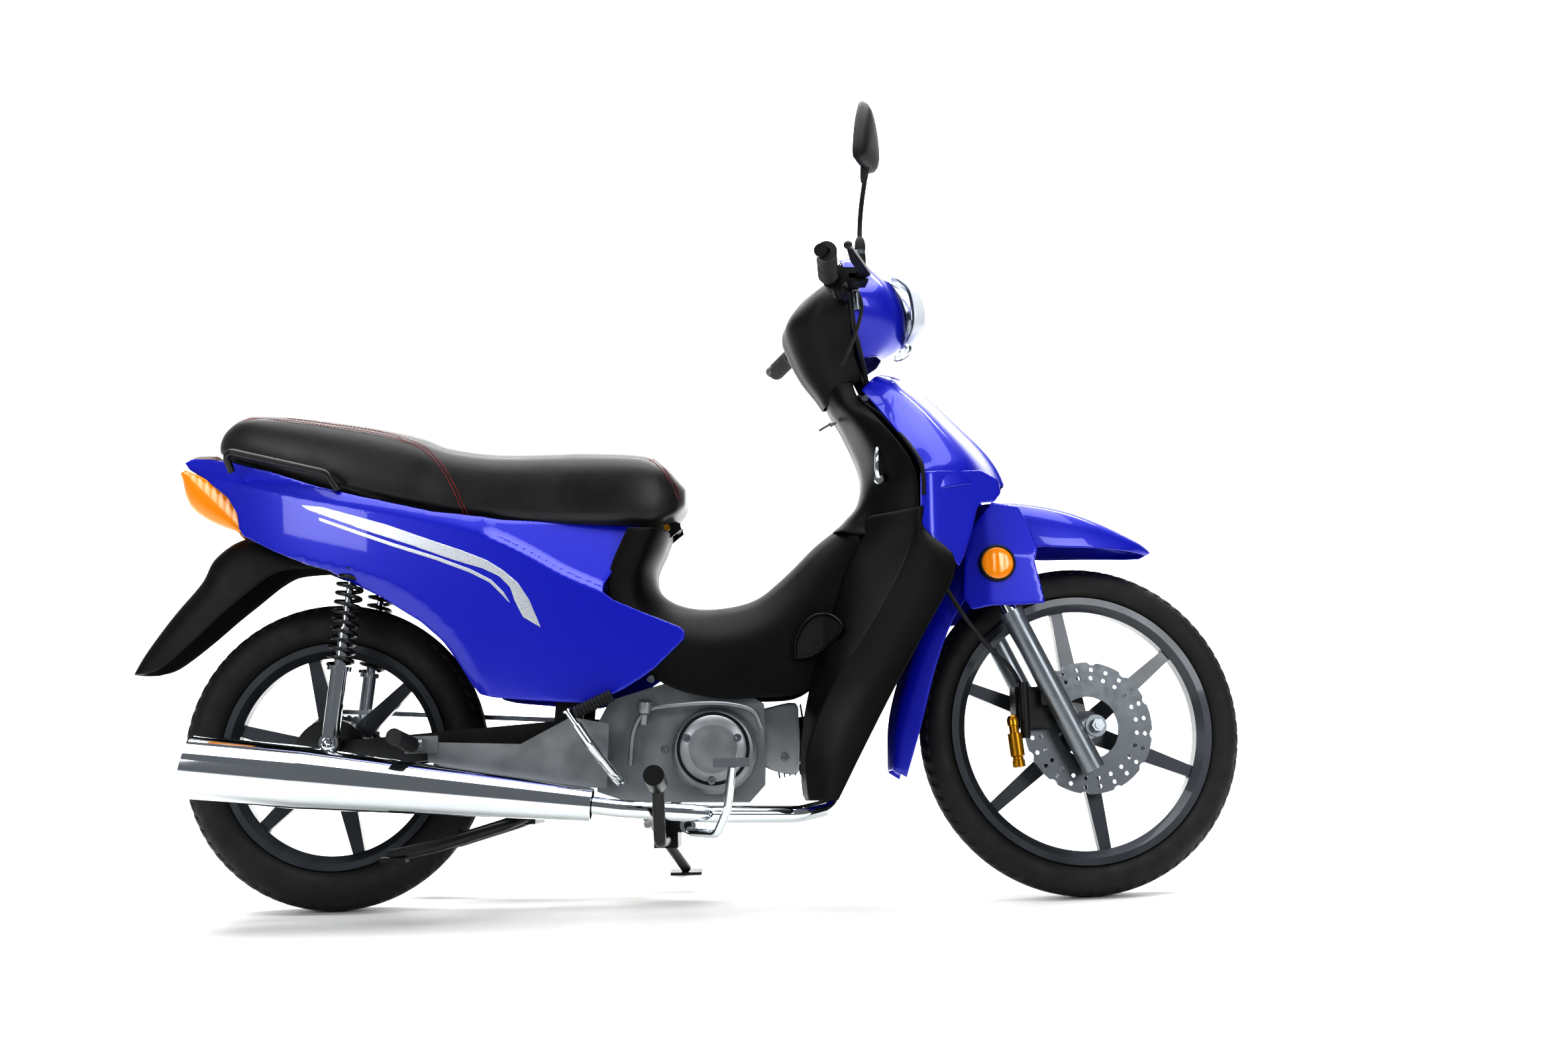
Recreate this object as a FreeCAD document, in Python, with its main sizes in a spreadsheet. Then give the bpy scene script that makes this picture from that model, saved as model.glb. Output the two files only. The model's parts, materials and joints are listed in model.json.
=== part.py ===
"""Step-through moped: a single with an underbone frame, 17 inch front and 14 inch rear wheel.

Everything is drawn on the upright bike: X runs forward from the rear axle, Y to the rider's
left, Z up from the ground. The bars are then turned a little and the whole machine is leaned
over onto its side stand, and moved so that the origin is the bottom centre of its box.
"""

import FreeCAD, Part
import math
import os
import re

import Sketcher
from FreeCAD import Placement, Rotation, Vector

SIZES = {
    # stance and steering
    "wheelbase": 1262,
    "rake_angle": 26,
    "steering_lead": 60,
    "fork_offset": 20,
    "fork_half_spacing": 84,
    "lean_angle": 8,
    "steer_angle": 8,
    # wheels
    "rear_tyre_radius": 257,
    "rear_tyre_width": 80,
    "rear_rim_radius": 190,
    "rear_rim_half": 25,
    "front_tyre_radius": 277,
    "front_tyre_width": 62,
    "front_rim_radius": 226,
    "front_rim_half": 21,
    "rim_depth": 24,
    "rim_wall": 4,
    "tyre_wall": 7,
    "spoke_width": 26,
    "spoke_depth": 16,
    "hub_radius": 30,
    "front_hub_half": 40,
    "rear_hub_radius": 62,
    "rear_hub_half": 38,
    "front_axle_radius": 6,
    "rear_axle_radius": 7,
    "disc_radius": 110,
    "disc_bore": 52,
    "disc_thick": 4,
    "disc_centre": 52,
    "sprocket_radius": 72,
    "sprocket_thick": 6,
    "chain_line": 53,
    # fork and steering
    "stanchion_radius": 13.5,
    "slider_radius": 19,
    "fork_fit": 0.05,
    "stem_radius": 14,
    "head_tube_radius": 24,
    "handlebar_radius": 11,
    "grip_radius": 17,
    "grip_length": 112,
    "turn_fit": 0.05,
    "mirror_thread_radius": 4.2,
    # rear suspension
    "pivot_ahead": 400,
    "pivot_height": 290,
    "pivot_bolt_radius": 7,
    "pivot_tube_radius": 14,
    "arm_spacing": 76,
    "arm_thick": 20,
    "shock_spacing": 112,
    "damper_radius": 14,
    "damper_neck": 10,
    "rod_radius": 6,
    "spring_radius": 20,
    "spring_wire": 3.5,
    # panels
    "skin": 3,
    "cowl_half_width": 150,
    "shield_half_width": 228,
    "rail_radius": 6,
    "lever_pin_radius": 3,
    "hinge_pin_radius": 4,
    "seat_half_width": 128,
    "tank_width": 104,
    # exhaust
    "muffler_radius": 50,
    "muffler_front_radius": 26,
    "muffler_side": 190,
    "muffler_wall": 2.5,
    "header_radius": 14,
    # foot controls and cords
    "footrest_bar_radius": 10,
    "hose_radius": 4,
    "stand_pin_radius": 9,
}

doc = FreeCAD.newDocument("moped")
sheet = doc.addObject("Spreadsheet::Sheet", "sizes")
for row, (name, value) in enumerate(SIZES.items(), start=1):
    sheet.set(f"A{row}", name)
    sheet.set(f"B{row}", str(value))
    sheet.setAlias(f"B{row}", name)
doc.recompute()

STRETCH_FROM, STRETCH_TO = 720, 860
DRAWN_WHEELBASE = 1262
sub_parts = []


def link(text):
    """An expression in the sheet's own words, written so that another object can hold it."""
    return re.sub(r"[a-z][a-z_]*", lambda word: "sizes." + word.group(0), text)


def size(text):
    return float(sheet.evalExpression(link(text)))


def bind(item, **sizes):
    for prop, text in sizes.items():
        item.setExpression(prop, link(text))


def keep(item, label, steered=False):
    """Name a finished sub-part and note whether it turns with the bars."""
    item.Label = label
    sub_parts.append((item, steered))
    return item


def keep_shape(label, shape, steered=False):
    item = doc.addObject("Part::Feature", label)
    item.Shape = shape.removeSplitter() if shape.ShapeType != "Compound" else shape
    return keep(item, label, steered)


def ahead(x):
    """Everything in front of the engine moves with the wheelbase; the tunnel stretches."""
    share = min(max((x - STRETCH_FROM) / (STRETCH_TO - STRETCH_FROM), 0), 1)
    return x + share * (size("wheelbase") - DRAWN_WHEELBASE)


def at(x, y, z):
    return Vector(ahead(x), y, z)


# ---------------------------------------------------------------- steering frame

rake = math.radians(size("rake_angle"))
steer_foot = Vector(size("wheelbase - steering_lead"), 0, size("front_tyre_radius"))
steer_up = Vector(-math.sin(rake), 0, math.cos(rake))
steer_out = Vector(math.cos(rake), 0, math.sin(rake))


def fork_point(out, y, up):
    """A point given by its distance ahead of the steering axis and its height along it."""
    return steer_foot + steer_out * out + steer_up * up + Vector(0, y, 0)


front_axle_at = Vector(size("wheelbase"), 0, size("front_tyre_radius"))
rear_axle_at = Vector(0, 0, size("rear_tyre_radius"))
pivot_at = Vector(size("pivot_ahead"), 0, size("pivot_height"))


# ---------------------------------------------------------------- plain solids


def rod(start, end, radius):
    return Part.makeCylinder(radius, (end - start).Length, start, end - start)


def ring(start, end, outer, inner):
    return rod(start, end, outer).cut(rod(start, end, inner))


def box(low, high):
    return Part.makeBox(high[0] - low[0], high[1] - low[1], high[2] - low[2], Vector(*low))


def hexagon(start, end, across):
    """A nut or bolt head along start to end."""
    axis = end - start
    side = Rotation(Vector(0, 0, 1), axis)
    corners = [
        start + side.multVec(Vector(math.cos(math.radians(a)), math.sin(math.radians(a)), 0)
                             * (across / math.sqrt(3)))
        for a in range(0, 361, 60)
    ]
    return Part.Face(Part.makePolygon(corners)).extrude(axis)


def bent_path(points, radius):
    """Straight runs joined by tangent arcs of one radius, or as much as a short run allows."""
    edges = []
    last = points[0]
    for before, corner, after in zip(points, points[1:], points[2:]):
        back = (before - corner).normalize()
        on = (after - corner).normalize()
        half = back.getAngle(on) / 2
        room = 0.48 * min((before - corner).Length, (after - corner).Length)
        trim = min(radius / math.tan(half), room)
        reach = trim * math.tan(half)
        middle = (back + on).normalize()
        centre = corner + middle * (reach / math.sin(half))
        start = corner + back * trim
        end = corner + on * trim
        edges.append(Part.LineSegment(last, start).toShape())
        edges.append(Part.Arc(start, centre - middle * reach, end).toShape())
        last = end
    edges.append(Part.LineSegment(last, points[-1]).toShape())
    return Part.Wire(edges)


def tube_along(points, radius, bend=40, inner=0):
    path = bent_path(points, bend)
    start = points[1] - points[0]
    solid = Part.Wire(Part.Circle(points[0], start, radius).toShape())
    solid = path.makePipeShell([solid], True, False)
    if inner:
        bore = Part.Wire(Part.Circle(points[0], start, inner).toShape())
        solid = solid.cut(path.makePipeShell([bore], True, False))
    return solid


def plate(outline, y_low, y_high, forward=True):
    """A flat plate with its outline in the side view, given as (x, z) points."""
    place = at if forward else Vector
    corners = [place(x, y_low, z) for x, z in outline]
    face = Part.Face(Part.makePolygon(corners + corners[:1]))
    return face.extrude(Vector(0, y_high - y_low, 0))


def strip_section(points, thick, inward):
    """A closed ribbon: the points, and the same points moved inward by the thickness."""
    count = len(points)
    inner = []
    for n, point in enumerate(points):
        along = points[min(n + 1, count - 1)] - points[max(n - 1, 0)]
        normal = along.cross(inward).normalize()
        inner.append(point + normal * thick)
    loop = points + inner[::-1]
    return Part.makePolygon(loop + loop[:1])


def channel(stations, thick):
    """A shell bent round a crown line.

    Each station is (crown, edge, crown half width, edge half width): the shell runs from one
    edge, over the crown and down to the other edge.
    """
    sections = []
    for crown, edge, crown_half, edge_half in stations:
        crown = at(crown[0], 0, crown[1])
        edge = at(edge[0], 0, edge[1])
        side = Vector(0, 1, 0)
        down = edge - crown
        ribs = [
            (1.0, edge_half),
            (0.45, 0.25 * crown_half + 0.75 * edge_half),
            (0.08, crown_half),
            (0.0, 0.5 * crown_half),
        ]
        right = [crown + down * drop - side * half for drop, half in ribs]
        left = [crown + down * drop + side * half for drop, half in reversed(ribs)]
        inward = side.cross(down)
        sections.append(strip_section(right + left, thick, inward))
    return Part.makeLoft(sections, True, True)


def bowed_sheet(stations, thick, side):
    """A bowed side panel's surface: each station is (x, [(half width, z), ...])."""
    sections = []
    for x, points in stations:
        line = [at(x, side * y, z) for y, z in points]
        sections.append(strip_section(line, thick, Vector(side, 0, 0)))
    return Part.makeLoft(sections, True, True)


def mirrored(shape):
    return shape.mirror(Vector(0, 0, 0), Vector(0, 1, 0))


# ---------------------------------------------------------------- sketched solids


def new_body(name, centre, spin=0):
    """A PartDesign body whose Z axis lies along the bike's Y, at the given centre."""
    body = doc.addObject("PartDesign::Body", name)
    body.Placement = Placement(centre, Rotation(Vector(1, 0, 0), -90).multiply(
        Rotation(Vector(0, 0, 1), spin)))
    return body


def sketch_on(body, name, role):
    sketch = body.newObject("Sketcher::SketchObject", name)
    plane = [item for item in body.Origin.OriginFeatures if item.Role == role][0]
    sketch.AttachmentSupport = [(plane, "")]
    sketch.MapMode = "FlatFace"
    return sketch


def outline_in(sketch, points):
    """A closed outline whose every corner is held by two expressions."""
    numbers = [(size(across), size(up)) for across, up in points]
    count = len(points)
    for n in range(count):
        start, end = numbers[n], numbers[(n + 1) % count]
        sketch.addGeometry(Part.LineSegment(Vector(*start, 0), Vector(*end, 0)), False)
    for n in range(count):
        sketch.addConstraint(Sketcher.Constraint("Coincident", n, 2, (n + 1) % count, 1))
    for n, (across, up) in enumerate(points):
        for kind, text, number in (("DistanceX", across, numbers[n][0]),
                                   ("DistanceY", up, numbers[n][1])):
            index = sketch.addConstraint(Sketcher.Constraint(kind, -1, 1, n, 1, number))
            sketch.setExpression(f"Constraints[{index}]", link(text))


def circle_in(sketch, across, up, radius):
    index = sketch.addGeometry(
        Part.Circle(Vector(size(across), size(up), 0), Vector(0, 0, 1), size(radius)), False)
    for kind, text in (("DistanceX", across), ("DistanceY", up)):
        held = sketch.addConstraint(Sketcher.Constraint(kind, -1, 1, index, 3, size(text)))
        sketch.setExpression(f"Constraints[{held}]", link(text))
    held = sketch.addConstraint(Sketcher.Constraint("Radius", index, size(radius)))
    sketch.setExpression(f"Constraints[{held}]", link(radius))


def revolve(body, name, points):
    sketch = sketch_on(body, name + "_profile", "XZ_Plane")
    outline_in(sketch, points)
    feature = body.newObject("PartDesign::Revolution", name)
    feature.Profile = sketch
    feature.ReferenceAxis = (sketch, ["V_Axis"])
    feature.Angle = 360
    return feature


def pad(body, name, draw, length, both_ways=True):
    sketch = sketch_on(body, name + "_sketch", "XY_Plane")
    draw(sketch)
    feature = body.newObject("PartDesign::Pad", name)
    feature.Profile = sketch
    feature.Midplane = both_ways
    bind(feature, Length=length)
    return feature


def pocket(body, name, draw):
    sketch = sketch_on(body, name + "_sketch", "XY_Plane")
    draw(sketch)
    feature = body.newObject("PartDesign::Pocket", name)
    feature.Profile = sketch
    feature.Midplane = True
    feature.Type = 1
    return feature


def repeat(body, name, feature, count):
    pattern = body.newObject("PartDesign::PolarPattern", name)
    pattern.Originals = [feature]
    axis = [item for item in body.Origin.OriginFeatures if item.Role == "Z_Axis"][0]
    pattern.Axis = (axis, [""])
    pattern.Angle = 360
    pattern.Occurrences = count
    body.Tip = pattern
    return pattern


# ---------------------------------------------------------------- wheels


def tyre(label, centre, end, steered):
    """A hollow tyre with a round crown, its beads just clear of the rim's flanges."""
    outer = size(f"{end}_tyre_radius")
    half = size(f"{end}_tyre_width") / 2
    flange = size(f"{end}_rim_radius") + 0.5
    bead = size(f"{end}_rim_half - rim_wall") - 0.5
    wall = size("tyre_wall")

    def half_round(shrink):
        low = flange - 6
        return [
            Vector(-bead + shrink, 0, low),
            Vector(-bead + shrink, 0, flange),
            Vector(-half + shrink, 0, (outer + flange) / 2 - 3),
            Vector(-0.62 * half + shrink / 2, 0, outer - 0.24 * half - shrink),
            Vector(0, 0, outer - shrink),
        ]

    def edges(points):
        other = [Vector(-p.x, 0, p.z) for p in points]
        return [
            Part.LineSegment(points[0], points[1]).toShape(),
            Part.Arc(points[1], points[2], points[3]).toShape(),
            Part.Arc(points[3], points[4], other[3]).toShape(),
            Part.Arc(other[3], other[2], other[1]).toShape(),
            Part.LineSegment(other[1], other[0]).toShape(),
        ]

    skin_points = half_round(0)
    cavity_points = half_round(wall)
    foot = [
        Part.LineSegment(skin_points[0], cavity_points[0]).toShape(),
        Part.LineSegment(Vector(-skin_points[0].x, 0, skin_points[0].z),
                         Vector(-cavity_points[0].x, 0, cavity_points[0].z)).toShape(),
    ]
    wire = Part.Wire(Part.__sortEdges__(edges(skin_points) + edges(cavity_points) + foot))
    turned = Part.Face(wire).revolve(Vector(0, 0, 0), Vector(1, 0, 0), 360)
    turned.rotate(Vector(0, 0, 0), Vector(0, 0, 1), 90)
    turned.translate(centre)
    keep_shape(label, turned, steered)


def cast_wheel(label, centre, end, hub_half, hub_radius, bore, spin, steered):
    """A cast wheel: rim and hub turned in one, with six straight spokes between them."""
    body = new_body(label, centre, spin)
    rim, half = f"{end}_rim_radius", f"{end}_rim_half"
    well = f"{rim} - rim_depth"
    revolve(body, label + "_rim", [
        (f"{rim}", f"0 - {half}"),
        (f"{rim}", f"rim_wall - {half}"),
        (f"{rim} - 8", f"rim_wall - {half}"),
        (f"{rim} - 8", f"rim_wall + 4 - {half}"),
        (f"{well} + 6", f"0 - {half} / 3"),
        (f"{well} + 6", f"{half} / 3"),
        (f"{rim} - 8", f"{half} - rim_wall - 4"),
        (f"{rim} - 8", f"{half} - rim_wall"),
        (f"{rim}", f"{half} - rim_wall"),
        (f"{rim}", half),
        (f"{rim} - 12", half),
        (well, f"{half} / 3 + 4"),
        (well, f"0 - {half} / 3 - 4"),
        (f"{rim} - 12", f"0 - {half}"),
    ])
    revolve(body, label + "_hub", [
        (bore, f"0 - {hub_half}"),
        (hub_radius, f"0 - {hub_half}"),
        (hub_radius, hub_half),
        (bore, hub_half),
    ])
    inner = f"{hub_radius} - 4"
    outer = f"{well} + 2"
    spoke = pad(body, label + "_spoke", lambda sketch: outline_in(sketch, [
        (inner, "0 - spoke_width / 2 - 3"),
        (outer, "0 - spoke_width / 2 + 3"),
        (outer, "spoke_width / 2 - 3"),
        (inner, "spoke_width / 2 + 3"),
    ]), "spoke_depth")
    repeat(body, label + "_spokes", spoke, 6)
    return keep(body, label, steered)


def brake_disc():
    """A wavy disc with two rings of drilled holes, on a six-armed carrier."""
    side = Vector(0, -size("disc_centre"), 0)
    body = new_body("brake_disc", front_axle_at + side, 6)
    pad(body, "disc_plate", lambda s: (circle_in(s, "0", "0", "disc_radius"),
                                       circle_in(s, "0", "0", "disc_bore")), "disc_thick")
    for name, radius, hole, count in (("scallops", "disc_radius + 5", "9", 12),
                                      ("outer_holes", "disc_radius - 12", "3.5", 24),
                                      ("inner_holes", "disc_radius - 26", "3.5", 24)):
        cut = pocket(body, "disc_" + name,
                     lambda s, r=radius, h=hole: circle_in(s, r, "0", h))
        repeat(body, "disc_" + name + "_ring", cut, count)
    return keep(body, "brake_disc", True)


def rear_sprocket():
    body = new_body("rear_sprocket", rear_axle_at + Vector(0, size("chain_line"), 0), 0)
    pad(body, "sprocket_blank", lambda s: (circle_in(s, "0", "0", "sprocket_radius"),
                                           circle_in(s, "0", "0", "rear_axle_radius + 18")),
        "sprocket_thick")
    tooth = pocket(body, "sprocket_gap",
                   lambda s: circle_in(s, "sprocket_radius + 1", "0", "4"))
    repeat(body, "sprocket_gaps", tooth, 36)
    window = pocket(body, "sprocket_window",
                    lambda s: circle_in(s, "sprocket_radius - 22", "0", "9"))
    repeat(body, "sprocket_windows", window, 6)
    return keep(body, "rear_sprocket")


tyre("rear_tyre", rear_axle_at, "rear", False)
tyre("front_tyre", front_axle_at, "front", True)
cast_wheel("rear_wheel", rear_axle_at, "rear", "rear_hub_half", "rear_hub_radius",
           "rear_axle_radius + turn_fit", 16, False)
cast_wheel("front_wheel", front_axle_at, "front", "front_hub_half", "hub_radius",
           "front_axle_radius + turn_fit", 21, True)
brake_disc()
rear_sprocket()


# ---------------------------------------------------------------- fork and front axle

SLIDER_LOW, SLIDER_HIGH = -88, 205
YOKE_LOW, YOKE_HIGH = 428, 456
HEAD_LOW, HEAD_HIGH = 458, 636
STEM_TOP = 705


def steering_stem():
    """Stem through the head tube, with the lower yoke that grips both fork tubes."""
    half = size("fork_half_spacing")
    leg = size("stanchion_radius")
    offset = size("fork_offset")
    yoke = ring(fork_point(offset, half, YOKE_LOW), fork_point(offset, half, YOKE_HIGH),
                leg + 8, leg)
    yoke = yoke.fuse(mirrored(yoke))
    bridge = [fork_point(-20, -30, YOKE_LOW), fork_point(offset - 14, -half + leg + 2, YOKE_LOW),
              fork_point(offset + 14, -half + leg + 2, YOKE_LOW), fork_point(34, -30, YOKE_LOW),
              fork_point(34, 30, YOKE_LOW), fork_point(offset + 14, half - leg - 2, YOKE_LOW),
              fork_point(offset - 14, half - leg - 2, YOKE_LOW), fork_point(-20, 30, YOKE_LOW)]
    slab = Part.Face(Part.makePolygon(bridge + bridge[:1]))
    slab = slab.extrude(steer_up * (YOKE_HIGH - YOKE_LOW))
    legs = rod(fork_point(offset, half, YOKE_LOW), fork_point(offset, half, YOKE_HIGH), leg)
    slab = slab.cut(legs.fuse(mirrored(legs)))
    stem = rod(fork_point(0, 0, YOKE_LOW + 4), fork_point(0, 0, STEM_TOP), size("stem_radius"))
    nut = hexagon(fork_point(0, 0, HEAD_HIGH + 1), fork_point(0, 0, HEAD_HIGH + 15), 36)
    keep_shape("steering_stem", yoke.multiFuse([slab, stem, nut]), True)


def fork_tubes():
    half, leg = size("fork_half_spacing"), size("stanchion_radius")
    tube = ring(fork_point(size("fork_offset"), half, 8),
                fork_point(size("fork_offset"), half, YOKE_HIGH + 8), leg, leg - 3)
    keep_shape("fork_tubes", Part.makeCompound([tube, mirrored(tube)]), True)


def fork_sliders():
    """Two cast lower legs, each with the lug that carries the axle ahead of the leg."""
    half, wide = size("fork_half_spacing"), size("slider_radius")
    offset = size("fork_offset")
    outer = rod(fork_point(offset, half, SLIDER_LOW), fork_point(offset, half, SLIDER_HIGH), wide)
    lip = rod(fork_point(offset, half, SLIDER_HIGH - 14), fork_point(offset, half, SLIDER_HIGH),
              wide + 2)
    lug_in, lug_out = half - wide + 2, half + wide - 4
    eye = rod(front_axle_at + Vector(0, lug_in, 0), front_axle_at + Vector(0, lug_out, 0), 18)
    root = fork_point(offset, 0, -26)
    low, high = steer_up * -16, steer_up * 16
    web = [root + low, front_axle_at + low, front_axle_at + high, root + high]
    web = [point + Vector(0, lug_in + 3, 0) for point in web]
    web = Part.Face(Part.makePolygon(web + web[:1])).extrude(Vector(0, lug_out - lug_in - 6, 0))
    bore = rod(fork_point(offset, half, SLIDER_LOW + 12), fork_point(offset, half, SLIDER_HIGH + 1),
               size("stanchion_radius + fork_fit"))
    axle = rod(front_axle_at, front_axle_at + Vector(0, 200, 0), size("front_axle_radius"))
    leg = outer.multiFuse([lip, eye, web]).cut(bore).cut(axle)
    keep_shape("fork_sliders", Part.makeCompound([leg, mirrored(leg)]), True)


def front_axle():
    reach = size("fork_half_spacing + slider_radius") - 4
    out = Vector(0, 1, 0)
    axle = rod(front_axle_at - out * (reach + 14), front_axle_at + out * (reach + 2),
               size("front_axle_radius"))
    nut = hexagon(front_axle_at - out * (reach + 12), front_axle_at - out * reach, 19)
    head = hexagon(front_axle_at + out * reach, front_axle_at + out * (reach + 8), 19)
    spacer = ring(front_axle_at + out * (size("front_hub_half") + 1),
                  front_axle_at + out * size("fork_half_spacing - slider_radius + 1.5"), 13, 5)
    keep_shape("front_axle", axle.multiFuse([nut, head, spacer, mirrored(spacer)]), True)


def brake_caliper():
    """Two-piston caliper straddling the disc behind the right fork leg."""
    y_disc = -size("disc_centre")
    gap = size("disc_thick") / 2 + 2
    centre = front_axle_at + Vector(-92, 0, 34)
    block = box((centre.x - 36, y_disc - 20, centre.z - 34), (centre.x + 22, y_disc + 17, centre.z + 34))
    slot = rod(front_axle_at + Vector(0, y_disc - gap, 0), front_axle_at + Vector(0, y_disc + gap, 0),
               size("disc_radius") + 3)
    bracket = box((centre.x + 4, -size("fork_half_spacing") - 4, centre.z + 2),
                  (centre.x + 50, y_disc - 12, centre.z + 24))
    half, wide = size("fork_half_spacing"), size("slider_radius")
    leg = rod(fork_point(size("fork_offset"), -half, SLIDER_LOW),
              fork_point(size("fork_offset"), -half, SLIDER_HIGH + 40), wide + 0.3)
    ahead_of_leg = box((centre.x + 24, -200, centre.z - 60), (centre.x + 200, 0, centre.z + 60))
    ahead_of_leg.rotate(Vector(centre.x + 24, 0, centre.z), Vector(0, 1, 0), -size("rake_angle"))
    valve = rod(Vector(centre.x - 24, y_disc - 30, centre.z - 52),
                Vector(centre.x - 24, y_disc - 30, centre.z + 40), 8)
    arm = box((centre.x - 32, y_disc - 30, centre.z - 8), (centre.x - 16, y_disc - 15, centre.z + 8))
    shape = block.multiFuse([bracket, valve, arm]).cut(slot).cut(leg).cut(ahead_of_leg)
    keep_shape("brake_caliper", max(shape.Solids, key=lambda solid: solid.Volume), True)


steering_stem()
fork_tubes()
fork_sliders()
front_axle()
brake_caliper()


# ---------------------------------------------------------------- handlebar and its covers

GRIP_IN, GRIP_OUT = Vector(826, 222, 1004), Vector(788, 340, 1004)


def bar_point(y, drop=0):
    """A point on the straight outer stretch of the handlebar at the given half width."""
    share = (y - GRIP_IN.y) / (GRIP_OUT.y - GRIP_IN.y)
    x = GRIP_IN.x + share * (GRIP_OUT.x - GRIP_IN.x)
    return at(x, y, GRIP_IN.z - drop)


bar_along = (bar_point(340) - bar_point(222)).normalize()


def handlebar_half(room):
    """The left half of the bar, or the room it needs where it leaves its covers."""
    run = [at(868, 60, 950), at(858, 118, 1000), bar_point(190), bar_point(341)]
    return tube_along(run, size("handlebar_radius") + room, 34)


def handlebar():
    right = [at(872, 0, 948), at(868, 60, 950), at(858, 118, 1000), bar_point(190), bar_point(341)]
    left = [Vector(p.x, -p.y, p.z) for p in right[:0:-1]]
    bar = tube_along(left + right[1:], size("handlebar_radius"), 34)
    clamp = box((ahead(852), -30, 912), (ahead(900), 30, 958))
    stem = rod(fork_point(0, 0, 600), fork_point(0, 0, STEM_TOP + 1), size("stem_radius"))
    keep_shape("handlebar", bar.fuse(clamp).cut(stem), True)


HOSE_POINTS = [
    (862, -170, 995.5), (868, -150, 945), (888, -98, 912), (905, -50, 880), (912, -46, 810),
    (925, -60, 740), (948, -84, 665), (980, -102, 590), (1010, -104, 520), (1052, -98, 452),
    (1096, -86, 402), (1130, -68, 378), (1148, -56, 351),
]


def cord_path(points):
    """Straight runs joined by arcs, each as large as its two runs allow."""
    edges = []
    last = points[0]
    for before, corner, after in zip(points, points[1:], points[2:]):
        back = (before - corner).normalize()
        on = (after - corner).normalize()
        half = back.getAngle(on) / 2
        trim = 0.45 * min((before - corner).Length, (after - corner).Length)
        reach = trim * math.tan(half)
        print("cord radius", round(reach, 1))
        middle = (back + on).normalize()
        centre = corner + middle * (reach / math.sin(half))
        start, end = corner + back * trim, corner + on * trim
        edges.append(Part.LineSegment(last, start).toShape())
        edges.append(Part.Arc(start, centre - middle * reach, end).toShape())
        last = end
    edges.append(Part.LineSegment(last, points[-1]).toShape())
    return Part.Wire(edges)


def hose(room=0):
    """The front brake's hose, from the master cylinder down behind the fork to the caliper."""
    points = [at(*point) for point in HOSE_POINTS]
    path = cord_path(points)
    radius = size("hose_radius") + room
    ends = Part.Wire(Part.Circle(points[0], points[1] - points[0], radius).toShape())
    tube = path.makePipeShell([ends], True, False)
    print("hose", round(path.Length), "volume ratio",
          round(tube.Volume / (math.pi * radius ** 2 * path.Length), 4))
    return tube


def handlebar_covers(room):
    rear = channel([
        ((826, 1034), (862, 1044), 44, 92),
        ((792, 1008), (864, 1010), 62, 120),
        ((772, 976), (868, 978), 62, 116),
        ((780, 940), (874, 945), 54, 98),
        ((802, 892), (884, 905), 42, 80),
        ((826, 858), (893, 884), 34, 66),
    ], size("skin"))
    front = channel([
        ((900, 1099), (866, 1086), 34, 62),
        ((940, 1076), (866, 1046), 48, 93),
        ((972, 1030), (868, 1010), 56, 120),
        ((978, 980), (872, 978), 58, 116),
        ((968, 944), (878, 945), 50, 98),
        ((936, 924), (888, 905), 36, 80),
    ], size("skin"))
    keep_shape("handlebar_rear_cover", rear.cut(room), True)
    keep_shape("handlebar_front_cover", front.cut(room), True)


def headlight():
    """A wide headlamp with the position and signal lamps behind one clear lens."""
    stations = [
        ((984, 1058), (952, 1062), 20, 60),
        ((1010, 1034), (980, 1034), 34, 80),
        ((1022, 998), (984, 990), 38, 84),
        ((1012, 964), (982, 962), 34, 76),
        ((984, 945), (976, 944), 20, 50),
    ]
    keep_shape("headlight", channel(stations, 5), True)


def control_pod():
    """The clamp-on switch housing beside a grip, with the boss that a mirror's stem screws into."""
    base = bar_point(205)
    pod = rod(bar_point(192), bar_point(218), 21)
    switches = rod(base, base + Vector(10, 0, -30), 12)
    perch = box((base.x + 8, 188, base.z - 8), (base.x + 52, 222, base.z + 14))
    boss = rod(base + Vector(42, 5, 10), base + Vector(42, 5, 40), 9)
    thread = rod(base + Vector(42, 5, 18), base + Vector(42, 5, 41), size("mirror_thread_radius"))
    pocket = rod(bar_point(200) + Vector(-19, 0, 4), bar_point(200) + Vector(-34, 0, 4), 5.4)
    return pod.multiFuse([switches, perch, boss]).cut(thread.fuse(pocket)).cut(handlebar_half(0))


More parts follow.
